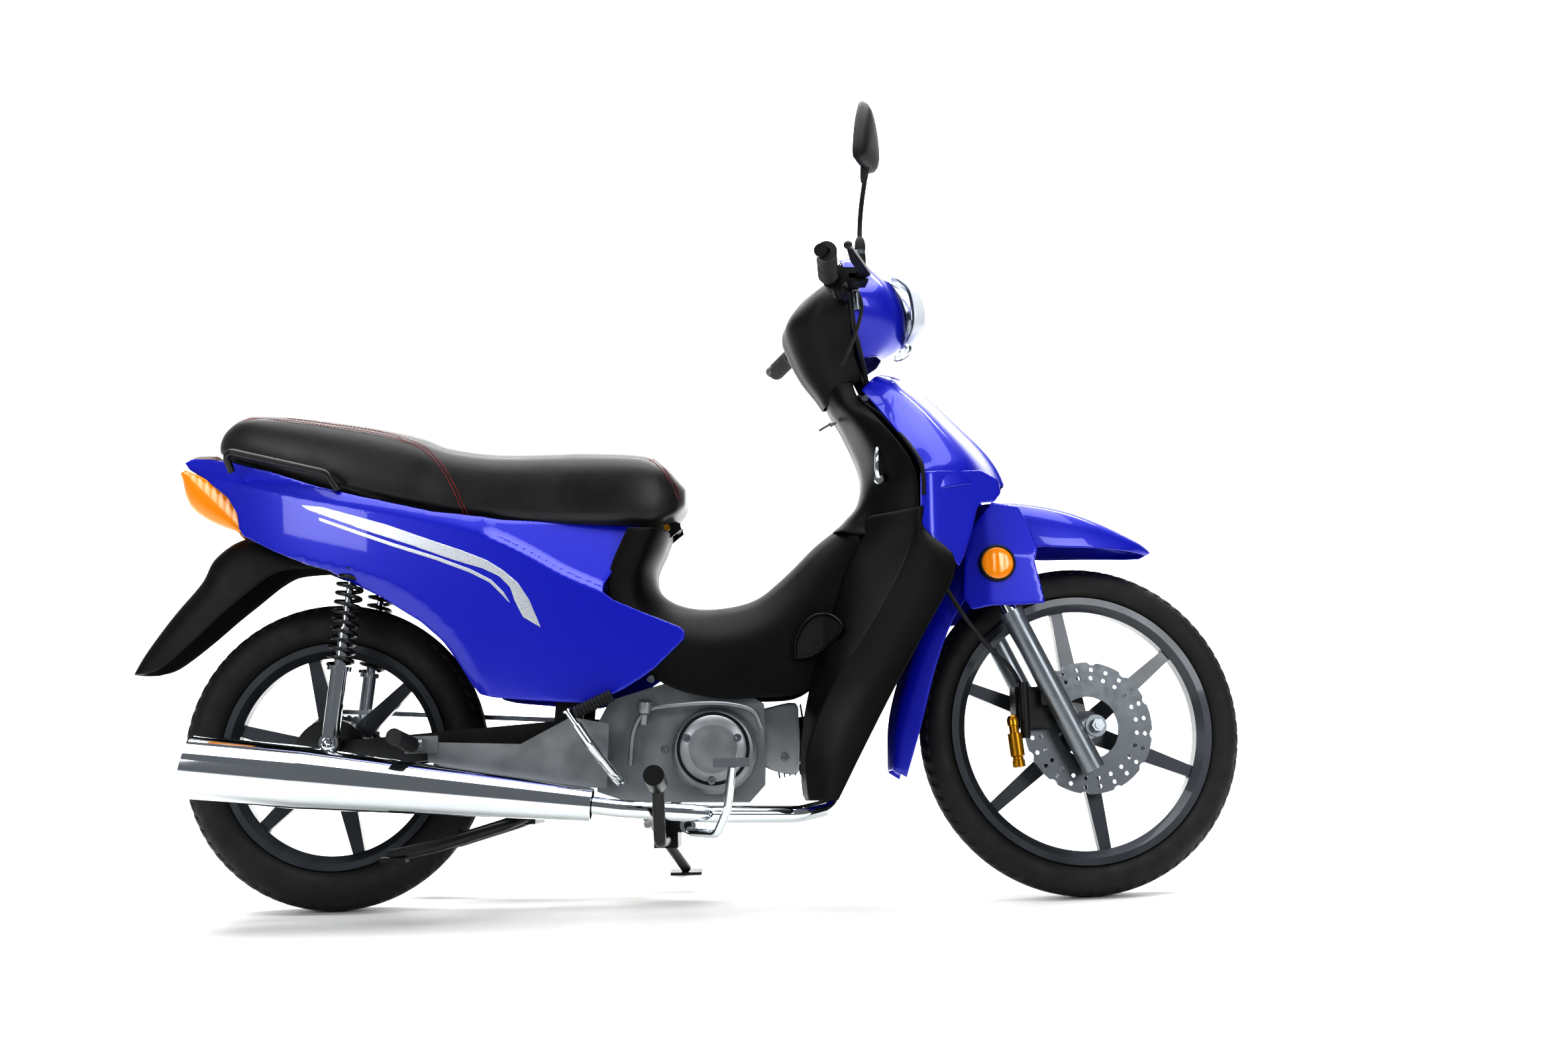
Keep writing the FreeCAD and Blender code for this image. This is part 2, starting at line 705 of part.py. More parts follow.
def controls():
    """Grips, switch pods, the brake's master cylinder, its lever and two push buttons."""
    keep_shape("left_switch_pod", control_pod(), True)
    grip_in, grip_out = bar_point(226), bar_point(226 + size("grip_length"))
    grip = ring(grip_in, grip_out, size("grip_radius"), size("handlebar_radius"))
    keep_shape("left_grip", grip, True)
    throttle = ring(grip_in, grip_out, size("grip_radius"), size("handlebar_radius + turn_fit"))
    keep_shape("throttle_grip", mirrored(throttle), True)
    base = bar_point(205)
    tank = box((base.x + 14, 150, base.z - 6), (base.x + 44, 192, base.z + 26))
    slot = box((base.x + 20, 193, base.z - 3), (base.x + 80, 240, base.z + 5))
    pivot = base + Vector(34, 8, 0)
    pin = rod(pivot + Vector(0, 0, -8), pivot + Vector(0, 0, 14), size("lever_pin_radius"))
    master = control_pod().fuse(tank).cut(slot).cut(handlebar_half(0)).fuse(pin)
    keep_shape("master_cylinder", mirrored(master), True)
    pin_hole = rod(pivot + Vector(0, 0, -9), pivot + Vector(0, 0, 15),
                   size("lever_pin_radius + turn_fit"))
    blade = [pivot + Vector(-7, -10, -2), pivot + Vector(8, -10, -2), pivot + Vector(20, 22, -2),
             bar_point(360) + Vector(52, 0, -2), bar_point(366) + Vector(44, 0, -2),
             bar_point(300) + Vector(40, 0, -2), pivot + Vector(0, 26, -2)]
    lever = Part.Face(Part.makePolygon(blade + blade[:1])).extrude(Vector(0, 0, 6))
    knob = Part.makeSphere(7, bar_point(363) + Vector(47, 0, 1))
    keep_shape("brake_lever", mirrored(lever.fuse(knob).cut(pin_hole)), True)
    cap = rod(bar_point(200) + Vector(-20.8, 0, 4), bar_point(200) + Vector(-28, 0, 4), 5)
    keep_shape("horn_button", cap, True)
    keep_shape("starter_button", mirrored(cap), True)


def mirror():
    """The right mirror: a stem screwed into the brake perch, and a kite-shaped head."""
    base = bar_point(205) + Vector(42, 5, 10)
    base.y = -base.y
    post = [base + Vector(0, 0, 9), base + Vector(0, 0, 70), base + Vector(4, -20, 132),
            base + Vector(8, -34, 213)]
    stem = tube_along(post, size("mirror_thread_radius") - 0.1, 60)
    lock_nut = hexagon(base + Vector(0, 0, 31), base + Vector(0, 0, 40), 15)
    boot = rod(base + Vector(0, 0, 38), base + Vector(0, 0, 60), 8)
    outline = [(-50, 168), (0, 168), (33, 176), (50, 196), (35, 247), (6, 287), (-12, 281), (-38, 231)]
    head = [base + Vector(-4, across - 34, up) for across, up in outline]
    shell = Part.Face(Part.makePolygon(head + head[:1])).extrude(Vector(22, 0, 0))
    upright = [edge for edge in shell.Edges if abs(edge.tangentAt(edge.FirstParameter).x) > 0.9]
    shell = shell.makeFillet(6, upright)
    shell.rotate(base + Vector(0, -34, 0), Vector(0, 0, 1), -28)
    keep_shape("mirror_right", stem.multiFuse([lock_nut, boot, shell]), True)


handlebar()
bar_room = handlebar_half(2)
handlebar_covers(bar_room.multiFuse([mirrored(bar_room), hose(2)]))
keep_shape("brake_hose", hose(), True)
headlight()
controls()
mirror()


# ---------------------------------------------------------------- front mudguard


def front_fender():
    """Mudguard over and behind the front wheel, with cheeks that hide the fork tubes."""
    over = channel([
        ((1400, 585), (1386, 578), 16, 26),
        ((1368, 602), (1345, 580), 30, 44),
        ((1302, 634), (1290, 582), 38, 56),
        ((1236, 656), (1235, 582), 42, 62),
        ((1160, 667), (1188, 582), 44, 62),
        ((1104, 664), (1140, 570), 42, 58),
    ], size("skin"))
    behind = channel([
        ((1104, 664), (1140, 570), 42, 58),
        ((1052, 600), (1094, 530), 42, 58),
        ((1010, 506), (1044, 470), 40, 56),
        ((968, 402), (1010, 390), 38, 50),
        ((938, 302), (978, 280), 36, 46),
        ((932, 213), (954, 200), 26, 32),
    ], size("skin"))
    inner = size("fork_half_spacing + slider_radius") + 4
    cheek = plate([(1100, 655), (1160, 640), (1177, 572), (1168, 551), (1184, 480), (1088, 478),
                   (1047, 500), (1052, 600)], inner, inner + size("skin"))
    web = box((ahead(1118), 50, 604), (ahead(1160), inner + 1, 608))
    shape = over.multiFuse([behind, cheek, mirrored(cheek), web, mirrored(web)])
    keep_shape("front_fender", shape, True)


front_fender()


# ---------------------------------------------------------------- frame

SEAT_HINGE_AT = Vector(580, 0, 636)


def frame():
    """Underbone frame: head tube, spine, twin rear tubes and the plates for the swing arm."""
    head = ring(fork_point(0, 0, HEAD_LOW), fork_point(0, 0, HEAD_HIGH),
                size("head_tube_radius"), size("stem_radius + turn_fit"))
    inside = rod(fork_point(0, 0, HEAD_LOW - 20), fork_point(0, 0, HEAD_HIGH + 20),
                 size("stem_radius + turn_fit"))
    spine = tube_along([fork_point(-10, 0, 520), at(928, 0, 600), at(800, 0, 462), Vector(560, 0, 440)],
                       19, 90)
    rail = tube_along([Vector(560, 70, 440), Vector(420, 70, 470), Vector(260, 70, 600),
                       Vector(40, 70, 640), Vector(-130, 70, 690)], 13, 60)
    cross = rod(Vector(562, -72, 440), Vector(562, 72, 440), 14)
    back = rod(Vector(-120, -72, 687), Vector(-120, 72, 687), 9)
    arm_out = size("arm_spacing + arm_thick / 2") + 1
    side = plate([(376, 266), (424, 266), (440, 470), (396, 480)], arm_out, arm_out + 6)
    boss = box((404, 66, 452), (432, arm_out + 3, 478))
    top = rod(Vector(53, 76, 611), Vector(53, size("shock_spacing") + 16, 611), 6)
    lug = plate([(41, 600), (65, 600), (68, 640), (38, 640)], 76, 84, False)
    hanger = box((596, -12, 372), (626, 12, 450))
    hinge_arm = plate([(545, 440), (575, 440), (516, 505), (516, 580), (560, 606), (590, 630),
                       (588, 640), (580, 643), (570, 640), (547, 614), (500, 592), (500, 480)], 33, 38, False)
    hinge_pin = rod(SEAT_HINGE_AT + Vector(0, -36, 0), SEAT_HINGE_AT + Vector(0, 36, 0),
                    size("hinge_pin_radius"))
    bolt = rod(Vector(pivot_at.x, -arm_out - 16, pivot_at.z), Vector(pivot_at.x, arm_out + 16, pivot_at.z),
               size("pivot_bolt_radius"))
    side_parts = [rail, side, boss, top, lug, hinge_arm]
    shape = head.multiFuse([spine.cut(inside), cross, back, hanger, bolt, hinge_pin] + side_parts
                           + [mirrored(part) for part in side_parts])
    keep_shape("frame", shape)


frame()


# ---------------------------------------------------------------- engine

CRANK_AT = Vector(643, 0, 253)
CYLINDER_TILT = 8


def engine():
    """Air-cooled single lying almost flat, with a finned barrel and head."""
    case = plate([(448, 190), (500, 172), (700, 168), (726, 196), (726, 330), (690, 352),
                  (560, 366), (470, 340), (448, 300)], -74, 34, False)
    bump = plate([(560, 190), (706, 186), (716, 316), (620, 330), (556, 310)], 33, 84, False)
    drum = rod(CRANK_AT + Vector(0, 83, 0), CRANK_AT + Vector(0, 100, 0), 62)
    keep_shape("crankcase", case.multiFuse([bump, drum]))
    tilt = Vector(math.cos(math.radians(CYLINDER_TILT)), 0, math.sin(math.radians(CYLINDER_TILT)))
    start = Vector(726.5, -4, 262)
    barrel = rod(start + tilt * 5, start + tilt * 82, 38)
    fins = [barrel]
    for n in range(7):
        fin = Part.makeBox(2.4, 112, 116, Vector(0, -56, -58))
        fin.rotate(Vector(0, 0, 0), Vector(0, 1, 0), -CYLINDER_TILT)
        fin.translate(start + tilt * (14 + 9 * n))
        fins.append(fin)
    head = Part.makeBox(58, 104, 104, Vector(0, -52, -52))
    head = head.makeFillet(14, head.Edges)
    head.rotate(Vector(0, 0, 0), Vector(0, 1, 0), -CYLINDER_TILT)
    head.translate(start + tilt * 82)
    keep_shape("cylinder", Part.makeCompound([fins[0].multiFuse(fins[1:]), head]))
    cover = doc.addObject("PartDesign::Body", "clutch_cover")
    cover.Placement = Placement(Vector(CRANK_AT.x, -74, CRANK_AT.z), Rotation(Vector(1, 0, 0), 90))
    revolve(cover, "clutch_dome", [("0", "0"), ("72", "0"), ("70", "18"), ("64", "26"), ("52", "32"),
                                   ("50", "29"), ("0", "29")])
    keep(cover, "clutch_cover")


def exhaust():
    """Header pipe under the engine, welded to a long tapered muffler."""
    y = -size("muffler_side")
    pipe = tube_along([Vector(840, -20, 214), Vector(836, -40, 158), Vector(780, -110, 148),
                       Vector(640, -160, 152), Vector(500, y, 164), Vector(440, y, 172)],
                      size("header_radius"), 50)
    front = Vector(452, y, 171)
    rear = Vector(-190, y, 243)
    axis = (rear - front).normalize()
    length = (rear - front).Length
    cone = Part.makeCone(size("muffler_front_radius"), size("muffler_radius"), 0.72 * length,
                         front, axis)
    drum = Part.makeCylinder(size("muffler_radius"), 0.28 * length + 20, front + axis * 0.72 * length, axis)
    wall = size("muffler_wall")
    hollow = Part.makeCone(size("muffler_front_radius") - wall, size("muffler_radius") - wall,
                           0.72 * length, front, axis)
    hollow = hollow.fuse(rod(front + axis * 0.72 * length, rear + axis * -24,
                             size("muffler_radius") - wall))
    slant = Part.makeBox(120, 200, 300, Vector(-190 - 120, y - 100, 100))
    slant.rotate(Vector(-190, y, 243), Vector(0, 1, 0), 12)
    tail = rod(rear + axis * -60, rear + axis * 40, 14)
    shell = drum.cut(rod(rear + axis * -14, rear + axis * 60, size("muffler_radius") - 8))
    can = cone.fuse(shell).cut(hollow)
    keep_shape("exhaust", pipe.fuse(can).cut(slant))


engine()
exhaust()


# ---------------------------------------------------------------- rear suspension and drive


def swing_arm():
    inner = size("arm_spacing - arm_thick / 2")
    outer = size("arm_spacing + arm_thick / 2")
    arm = plate([(418, 270), (418, 310), (60, 284), (-30, 280), (-36, 240), (60, 236)], inner, outer, False)
    tube = rod(Vector(pivot_at.x, -outer, pivot_at.z), Vector(pivot_at.x, outer, pivot_at.z),
               size("pivot_tube_radius"))
    hole = rod(Vector(pivot_at.x, -200, pivot_at.z), Vector(pivot_at.x, 200, pivot_at.z),
               size("pivot_bolt_radius + turn_fit"))
    bridge = rod(Vector(300, -inner - 2, 286), Vector(300, inner + 2, 286), 14)
    stud_foot = Vector(15, outer - 2, 278)
    stud = rod(stud_foot, Vector(15, size("shock_spacing") + 15, 278), 5)
    axle = rod(Vector(0, -200, rear_axle_at.z), Vector(0, 200, rear_axle_at.z), size("rear_axle_radius"))
    ear = rod(Vector(15, outer - 2, 278), Vector(15, outer + 8, 278), 11)
    parts = [mirrored(arm), tube, bridge, stud, mirrored(stud), ear, mirrored(ear)]
    keep_shape("swing_arm", arm.multiFuse(parts).cut(hole).cut(axle))
    reach = outer
    pin = rod(Vector(0, -reach - 16, rear_axle_at.z), Vector(0, reach + 14, rear_axle_at.z),
              size("rear_axle_radius"))
    nut = hexagon(Vector(0, -reach - 12, rear_axle_at.z), Vector(0, -reach, rear_axle_at.z), 22)
    head = hexagon(Vector(0, reach, rear_axle_at.z), Vector(0, reach + 9, rear_axle_at.z), 22)
    gap_right = ring(Vector(0, -inner, rear_axle_at.z), Vector(0, -inner + 5, rear_axle_at.z), 12, 6)
    gap_left = ring(Vector(0, inner - 7, rear_axle_at.z), Vector(0, inner, rear_axle_at.z), 12, 6)
    keep_shape("rear_axle", pin.multiFuse([nut, head, gap_right, gap_left]))
    panel_at = size("rear_hub_half") + 1
    panel = rod(Vector(0, -panel_at, rear_axle_at.z), Vector(0, -panel_at - 12, rear_axle_at.z),
                size("rear_hub_radius"))
    cam = rod(Vector(38, -panel_at - 4, 236), Vector(38, -panel_at - 26, 236), 8)
    lever = plate([(30, 244), (46, 244), (62, 176), (48, 172)], -panel_at - 26, -panel_at - 20, False)
    bore = rod(Vector(0, -200, rear_axle_at.z), Vector(0, 200, rear_axle_at.z), size("rear_axle_radius"))
    keep_shape("brake_panel", panel.multiFuse([cam, lever]).cut(bore))


def drive_chain():
    """The chain as one band round both sprockets."""
    y = size("chain_line")
    front_at = Vector(505, 0, 268)
    back_radius, front_radius = size("sprocket_radius") + 1, 33

    def band(grow):
        big = rod(rear_axle_at + Vector(0, y - 5, 0), rear_axle_at + Vector(0, y + 5, 0), back_radius + grow)
        small = rod(front_at + Vector(0, y - 5, 0), front_at + Vector(0, y + 5, 0), front_radius + grow)
        slope = math.asin((back_radius - front_radius) / (front_at - rear_axle_at).Length)
        line = math.atan2(front_at.z - rear_axle_at.z, front_at.x)
        corners = []
        for sign in (1, -1):
            angle = line + sign * (math.pi / 2 - slope)
            tip = Vector(math.cos(angle), 0, math.sin(angle))
            pair = [rear_axle_at + tip * (back_radius + grow), front_at + tip * (front_radius + grow)]
            corners += pair if sign > 0 else pair[::-1]
        corners = [point + Vector(0, y - 5, 0) for point in corners]
        flat = Part.Face(Part.makePolygon(corners + corners[:1])).extrude(Vector(0, 10, 0))
        return flat.multiFuse([big, small])

    keep_shape("drive_chain", band(8).cut(band(0)))


SHOCK_LOW, SHOCK_HIGH = Vector(15, 0, 278), Vector(53, 0, 611)


def shocks():
    """Twin rear shock absorbers: body and eye below, rod and cap above, spring round both."""
    y = Vector(0, size("shock_spacing"), 0)
    low, high = SHOCK_LOW + y, SHOCK_HIGH + y
    up = (high - low).normalize()
    side = Vector(0, 11, 0)
    open_eye = 9.5
    body = rod(low + up * 10, low + up * 120, size("damper_radius"))
    body = body.fuse(rod(low + up * 119, low + up * 190, size("damper_neck")))
    eye = rod(low - side, low + side, 16)
    step = rod(low + up * 118, low + up * 126, size("spring_radius"))
    hollow = rod(low + up * 40, low + up * 191, size("rod_radius + fork_fit"))
    lower = body.multiFuse([eye, step]).cut(hollow).cut(rod(low - side * 2, low + side * 2, open_eye))
    keep_shape("shock_bodies", Part.makeCompound([lower, mirrored(lower)]))
    stroke = rod(low + up * 110, high - up * 12, size("rod_radius"))
    cap = rod(high - up * 40, high - up * 30, size("spring_radius"))
    neck = rod(high - up * 31, high - up * 8, 13)
    top_eye = rod(high - side, high + side, 15)
    upper = stroke.multiFuse([cap, neck, top_eye]).cut(rod(high - side * 3, high + side * 3, 6.05))
    keep_shape("shock_rods", Part.makeCompound([upper, mirrored(upper)]))
    room = (high - up * 41 - (low + up * 127)).Length
    turns = 11
    coil = size("spring_radius - spring_wire - 0.5")
    wire = size("spring_wire")
    start = low + up * (127.5 + wire)
    rings = []
    for n in range(turns):
        place = start + up * (n * (room - 2 * wire - 1) / (turns - 1))
        rings.append(Part.makeTorus(coil, wire, place, up))
    link_bar = [rod(start + up.cross(Vector(0, 1, 0)) * coil + up * (n * (room - 2 * wire - 1) / (turns - 1)),
                    start + up.cross(Vector(0, 1, 0)) * coil + up * ((n + 1) * (room - 2 * wire - 1) / (turns - 1)),
                    wire * 0.8) for n in range(turns - 1)]
    spring = rings[0].multiFuse(rings[1:] + link_bar)
    keep_shape("shock_springs", Part.makeCompound([spring, mirrored(spring)]))


swing_arm()
drive_chain()
shocks()


# ---------------------------------------------------------------- body panels


def side_cowls():
    half = size("cowl_half_width")
    sheet_right = bowed_sheet([
        (-250, [(half - 88, 790), (half - 74, 730), (half - 72, 680), (half - 84, 600)]),
        (-80, [(half - 48, 790), (half - 28, 700), (half - 17, 640), (half - 22, 540)]),
        (160, [(half - 36, 720), (half - 8, 630), (half - 3, 540), (half - 16, 440)]),
        (400, [(half - 44, 680), (half - 12, 560), (half - 2, 440), (half - 20, 310)]),
        (640, [(half - 60, 680), (half - 34, 560), (half - 14, 440), (half - 30, 310)]),
    ], size("skin"), -1)
    outline = [(-238, 748), (-165, 744), (-81, 722), (-14, 700), (60, 676), (200, 640), (322, 622),
               (530, 618), (466, 537), (497, 503), (546, 474), (600, 453), (600, 441), (564, 413),
               (510, 368), (461, 336), (434, 329), (349, 339), (279, 347), (255, 371), (228, 420),
               (201, 459), (163, 492), (108, 526), (70, 546), (37, 562), (-7, 574), (-40, 591),
               (-79, 607), (-117, 623), (-144, 636), (-146, 684), (-176, 706)]
    block = plate(outline, -half - 60, -30, False)
    right = sheet_right.common(block)
    keep_shape("side_cowl_right", right)
    keep_shape("side_cowl_left", mirrored(right))
    lamp = plate([(-236, 736), (-178, 702), (-152, 681), (-150, 655), (-151, 640), (-174, 652),
                  (-220, 677), (-236, 702)], -(half - 82), half - 82, False)
    keep_shape("tail_light", lamp)


def rear_fender():
    shape = channel([
        ((60, 604), (60, 574), 40, 52),
        ((-60, 606), (-60, 572), 42, 56),
        ((-148, 630), (-104, 560), 42, 58),
        ((-210, 600), (-156, 520), 40, 58),
        ((-236, 560), (-188, 494), 38, 56),
        ((-280, 497), (-240, 449), 34, 50),
        ((-326, 435), (-288, 412), 28, 42),
        ((-352, 394), (-322, 399), 22, 34),
    ], size("skin"))
    keep_shape("rear_fender", shape)


def grab_rails():
    """A bent tube on each side below the seat, for the passenger's hands."""
    y = size("cowl_half_width") - 20
    rail = tube_along([Vector(-156, y - 15, 731), Vector(-164, y + 6, 764), Vector(8, y + 8, 722),
                       Vector(26, y - 1, 694)], size("rail_radius"), 20)
    keep_shape("grab_rails", Part.makeCompound([rail, mirrored(rail)]))


def leg_shield():
    """The rider's side of the leg shield round the steering head."""
    shield = channel([
        ((846, 838), (896, 842), 44, 84),
        ((874, 790), (926, 800), 56, 128),
        ((899, 722), (970, 735), 66, 166),
        ((893, 668), (984, 690), 72, 182),
        ((868, 636), (982, 620), 74, 186),
    ], size("skin"))
    keep_shape("leg_shield", shield)
    tunnel = channel([
        ((864, 630), (930, 470), 60, 74),
        ((818, 595), (850, 400), 56, 80),
        ((764, 543), (790, 346), 54, 86),
        ((711, 504), (720, 345), 54, 92),
        ((640, 491), (630, 350), 54, 96),
        ((566, 507), (545, 400), 58, 100),
        ((541, 548), (500, 470), 66, 104),
        ((568, 606), (480, 560), 76, 100),
    ], size("skin"))
    keep_shape("tunnel_cover", tunnel)


def leg_wings():
    """The lower halves of the leg shield, which keep the road off the rider's legs."""
    out = size("shield_half_width")

    def level(z, inner_x, ridge_x, front_x, inner_y, ridge_y, front_y):
        line = [at(inner_x, -inner_y, z), at((inner_x + ridge_x) / 2, -(inner_y + ridge_y) / 2 - 6, z),
                at(ridge_x, -ridge_y, z), at((ridge_x + front_x) / 2, -(ridge_y + front_y) / 2 - 4, z),
                at(front_x, -front_y, z)]
        return strip_section(line, size("skin"), Vector(0, 0, 1))

    levels = [
        level(612, 895, 980, 992, 92, out - 40, out - 36),
        level(540, 862, 955, 1038, 86, out - 34, out - 4),
        level(430, 824, 893, 984, 92, out - 34, out),
        level(344, 800, 836, 935, 108, out - 34, out),
        level(250, 786, 798, 884, 122, out - 36, out - 2),
        level(170, 792, 800, 840, 150, out - 40, out - 10),
    ]
    right = Part.makeLoft(levels, True, True)
    keep_shape("leg_wings", Part.makeCompound([right, mirrored(right)]))


def front_cowl():
    cowl = channel([
        ((936, 896), (900, 852), 30, 86),
        ((974, 884), (930, 806), 44, 130),
        ((1060, 804), (974, 741), 52, 168),
        ((1130, 724), (992, 700), 50, 186),
        ((1142, 694), (994, 664), 50, 188),
    ], size("skin"))
    out = size("shield_half_width")
    cheek_sheet = bowed_sheet([
        (980, [(out - 39, 672), (out - 39, 610), (out - 36, 540)]),
        (1060, [(out - 48, 690), (out - 44, 610), (out - 20, 530)]),
        (1120, [(out - 60, 700), (out - 56, 610), (out - 36, 530)]),
    ], size("skin"), -1)
    cheek = cheek_sheet.common(plate([(994, 668), (1104, 676), (1052, 548), (1042, 548), (994, 590)],
                                     -300, -100))
    keep_shape("front_cowl", Part.makeCompound([cowl, cheek, mirrored(cheek)]))


side_cowls()
rear_fender()
grab_rails()
leg_shield()
leg_wings()
front_cowl()


# ---------------------------------------------------------------- seat


def seat():
    """A long two-step seat on a moulded pan that hinges at its nose."""
    wide = size("seat_half_width")
    stations = [
        (-196, 768, 798, 0.52), (-178, 762, 820, 0.68), (-140, 750, 843, 0.8), (-60, 722, 836, 0.9),
        (60, 682, 818, 0.98), (200, 644, 792, 1.0), (340, 628, 770, 1.0), (460, 625, 765, 0.94),
        (540, 626, 761, 0.82), (585, 650, 722, 0.6), (603, 676, 700, 0.36),
    ]
    sections = []
    for x, low, high, share in stations:
        half, tall = wide * share, high - low
        right = [(0.86, 0), (1.0, 0.2), (1.0, 0.5), (0.86, 0.82), (0.5, 0.98)]
        points = [Vector(x, half * across, low + tall * up) for across, up in right]
        loop = points + [Vector(p.x, -p.y, p.z) for p in reversed(points)]
        sections.append(Part.makePolygon(loop + loop[:1]))
    keep_shape("seat_cushion", Part.makeLoft(sections, True, True))
    pans = []
    for x, low, high, share in stations[1:-2]:
        half = wide * share * 0.8
        points = [Vector(x, -half, low - 9), Vector(x, half, low - 9), Vector(x, half, low - 0.5),
                  Vector(x, -half, low - 0.5)]
        pans.append(Part.makePolygon(points + points[:1]))
    leaf = plate([(526, 617.2), (541, 617.2), (577, 630), (574, 637), (538, 622.5), (526, 622.5)], -30, 30,
                 False)
    barrel = rod(SEAT_HINGE_AT + Vector(0, -30, 0), SEAT_HINGE_AT + Vector(0, 30, 0), 7)
    pin_hole = rod(SEAT_HINGE_AT + Vector(0, -31, 0), SEAT_HINGE_AT + Vector(0, 31, 0),
                   size("hinge_pin_radius + turn_fit"))
    pan = Part.makeLoft(pans, True, True).multiFuse([leaf, barrel])
    keep_shape("seat_pan", pan.cut(pin_hole))


def fuel_tank():
    """The tank under the seat, between the frame's rear tubes."""
    body = new_body("fuel_tank", Vector(0, 0, 0))
    outline = [(104, 566), (270, 566), (304, 500), (396, 500), (396, 610), (290, 614), (104, 614)]
    pad(body, "tank_shell", lambda sketch: outline_in(
        sketch, [(str(x), f"0 - {z}") for x, z in outline]), "tank_width")
    keep(body, "fuel_tank")


seat()
fuel_tank()


# ---------------------------------------------------------------- foot controls, pegs and stands

STAND_AT = Vector(330, 0, 153)
PEDAL_AT = Vector(600, -112, 134)
SIDE_STAND_AT = Vector(520, 112, 150)
SIDE_FOOT = Vector(575, 262, 0)
SIDE_DOWN = Vector(0.281, 0.766, -0.577)
SIDE_FOLDED = Vector(-0.98, 0.15, 0)
side_stand_axis = SIDE_DOWN.cross(SIDE_FOLDED).normalize()


def mirror_point(point):
    return Vector(point.x, -point.y, point.z)


def footrests():
    """A steel bar under the engine: rider's rubbers, brake pedal pin and both stand pivots."""
    radius = size("footrest_bar_radius")
    tip, knee = Vector(560, -318, 215), Vector(560, -236, 201)
    path = [tip, knee, Vector(560, -200, 112), Vector(560, 0, 108)]
    whole = path + [mirror_point(p) for p in reversed(path[:-1])]
    bar = tube_along(whole, radius, 20)
    saddle = box((540, -60, 96), (580, 60, 167.5))
    strap = box((STAND_AT.x + 12, -50, 160.5), (560, 50, 167.5))
    sleeve = box((STAND_AT.x - 14, -60, STAND_AT.z - 14), (STAND_AT.x + 14, 60, 167.5))
    sleeve = sleeve.cut(rod(STAND_AT + Vector(0, -90, 0), STAND_AT + Vector(0, 90, 0),
                            size("stand_pin_radius + turn_fit")))
    pedal_pin = rod(PEDAL_AT + Vector(0, 4, 0), PEDAL_AT + Vector(0, 42, 0), 6)
    pedal_pin = pedal_pin.fuse(rod(PEDAL_AT + Vector(0, -12, 0), PEDAL_AT + Vector(0, 5, 0), 6))
    pedal_foot = box((570, -80, 122), (612, -75, 150)).fuse(box((570, -80, 122), (580, -59, 150)))
    arm = rod(Vector(545, 40, 140), SIDE_STAND_AT - side_stand_axis * 22, 8)
    stand_pin = rod(SIDE_STAND_AT - side_stand_axis * 28, SIDE_STAND_AT + side_stand_axis * 14, 6)
    steel = bar.multiFuse([saddle, strap, sleeve, pedal_pin, pedal_foot, arm, stand_pin])
    on = (tip - knee).normalize()
    rubber = ring(knee + on * 12, tip + on * 0.5, radius + 6, radius)
    rubber = rubber.fuse(rod(tip + on * 0.2, tip + on * 4, radius + 6))
    keep_shape("footrest_bar", Part.makeCompound([steel, rubber, mirrored(rubber)]))


def brake_pedal():
    """Foot brake on the right, pivoting behind the footrest bar."""
    out = Vector(0, -1, 0)
    start = PEDAL_AT + out * 6
    path = [start, start + Vector(6, -30, -10), Vector(650, -205, 122), Vector(668, -232, 160),
            Vector(676, -240, 226)]
    arm = tube_along(path, 7, 20)
    hub = rod(PEDAL_AT + out * 12, PEDAL_AT + out * -14, 13)
    tread = box((648, -266, 226), (704, -216, 240))
    hole = rod(PEDAL_AT + out * 30, PEDAL_AT - out * 30, size("turn_fit") + 6)
    keep_shape("brake_pedal", arm.multiFuse([hub, tread]).cut(hole))


def gear_pedal():
    """Heel-and-toe gear lever on the left."""
    arm = plate([(446, 206), (560, 184), (706, 196), (706, 208), (572, 200), (446, 218)], 150, 158, False)
    toe = rod(Vector(698, 150, 202), Vector(698, 214, 202), 11)
    heel = rod(Vector(454, 150, 212), Vector(454, 214, 212), 11)
    shaft = rod(Vector(566, 86, 192), Vector(566, 158, 192), 7)
    keep_shape("gear_pedal", arm.multiFuse([toe, heel, shaft]))


def kick_starter():
    """Kick starter: a bent arm on the engine's shaft, and a step that swings out on its end."""
    shaft = rod(Vector(490, -75, 206), Vector(490, -120, 206), 9)
    bend, top = Vector(446, -172, 268), Vector(426, -175, 298)
    along = (top - bend).normalize()
    arm = tube_along([Vector(490, -110, 206), Vector(486, -140, 212), bend, top], 8, 22)
    pin = rod(top - along, top + along * 27, 5)
    cap = rod(top + along * 25.5, top + along * 29, 8)
    keep_shape("kick_arm", shaft.multiFuse([arm, pin, cap]))
    forward = Vector(0.905, 0, 0.426)
    forward = (forward - along * forward.dot(along)).normalize()
    middle = top + along * 13
    sleeve = rod(top + along * 0.6, top + along * 25, 10)
    step = rod(middle + forward * 7, middle + forward * 94, 9)
    bore = rod(top - along * 2, top + along * 30, 5 + size("turn_fit"))
    keep_shape("kick_pedal", sleeve.fuse(step).cut(bore))


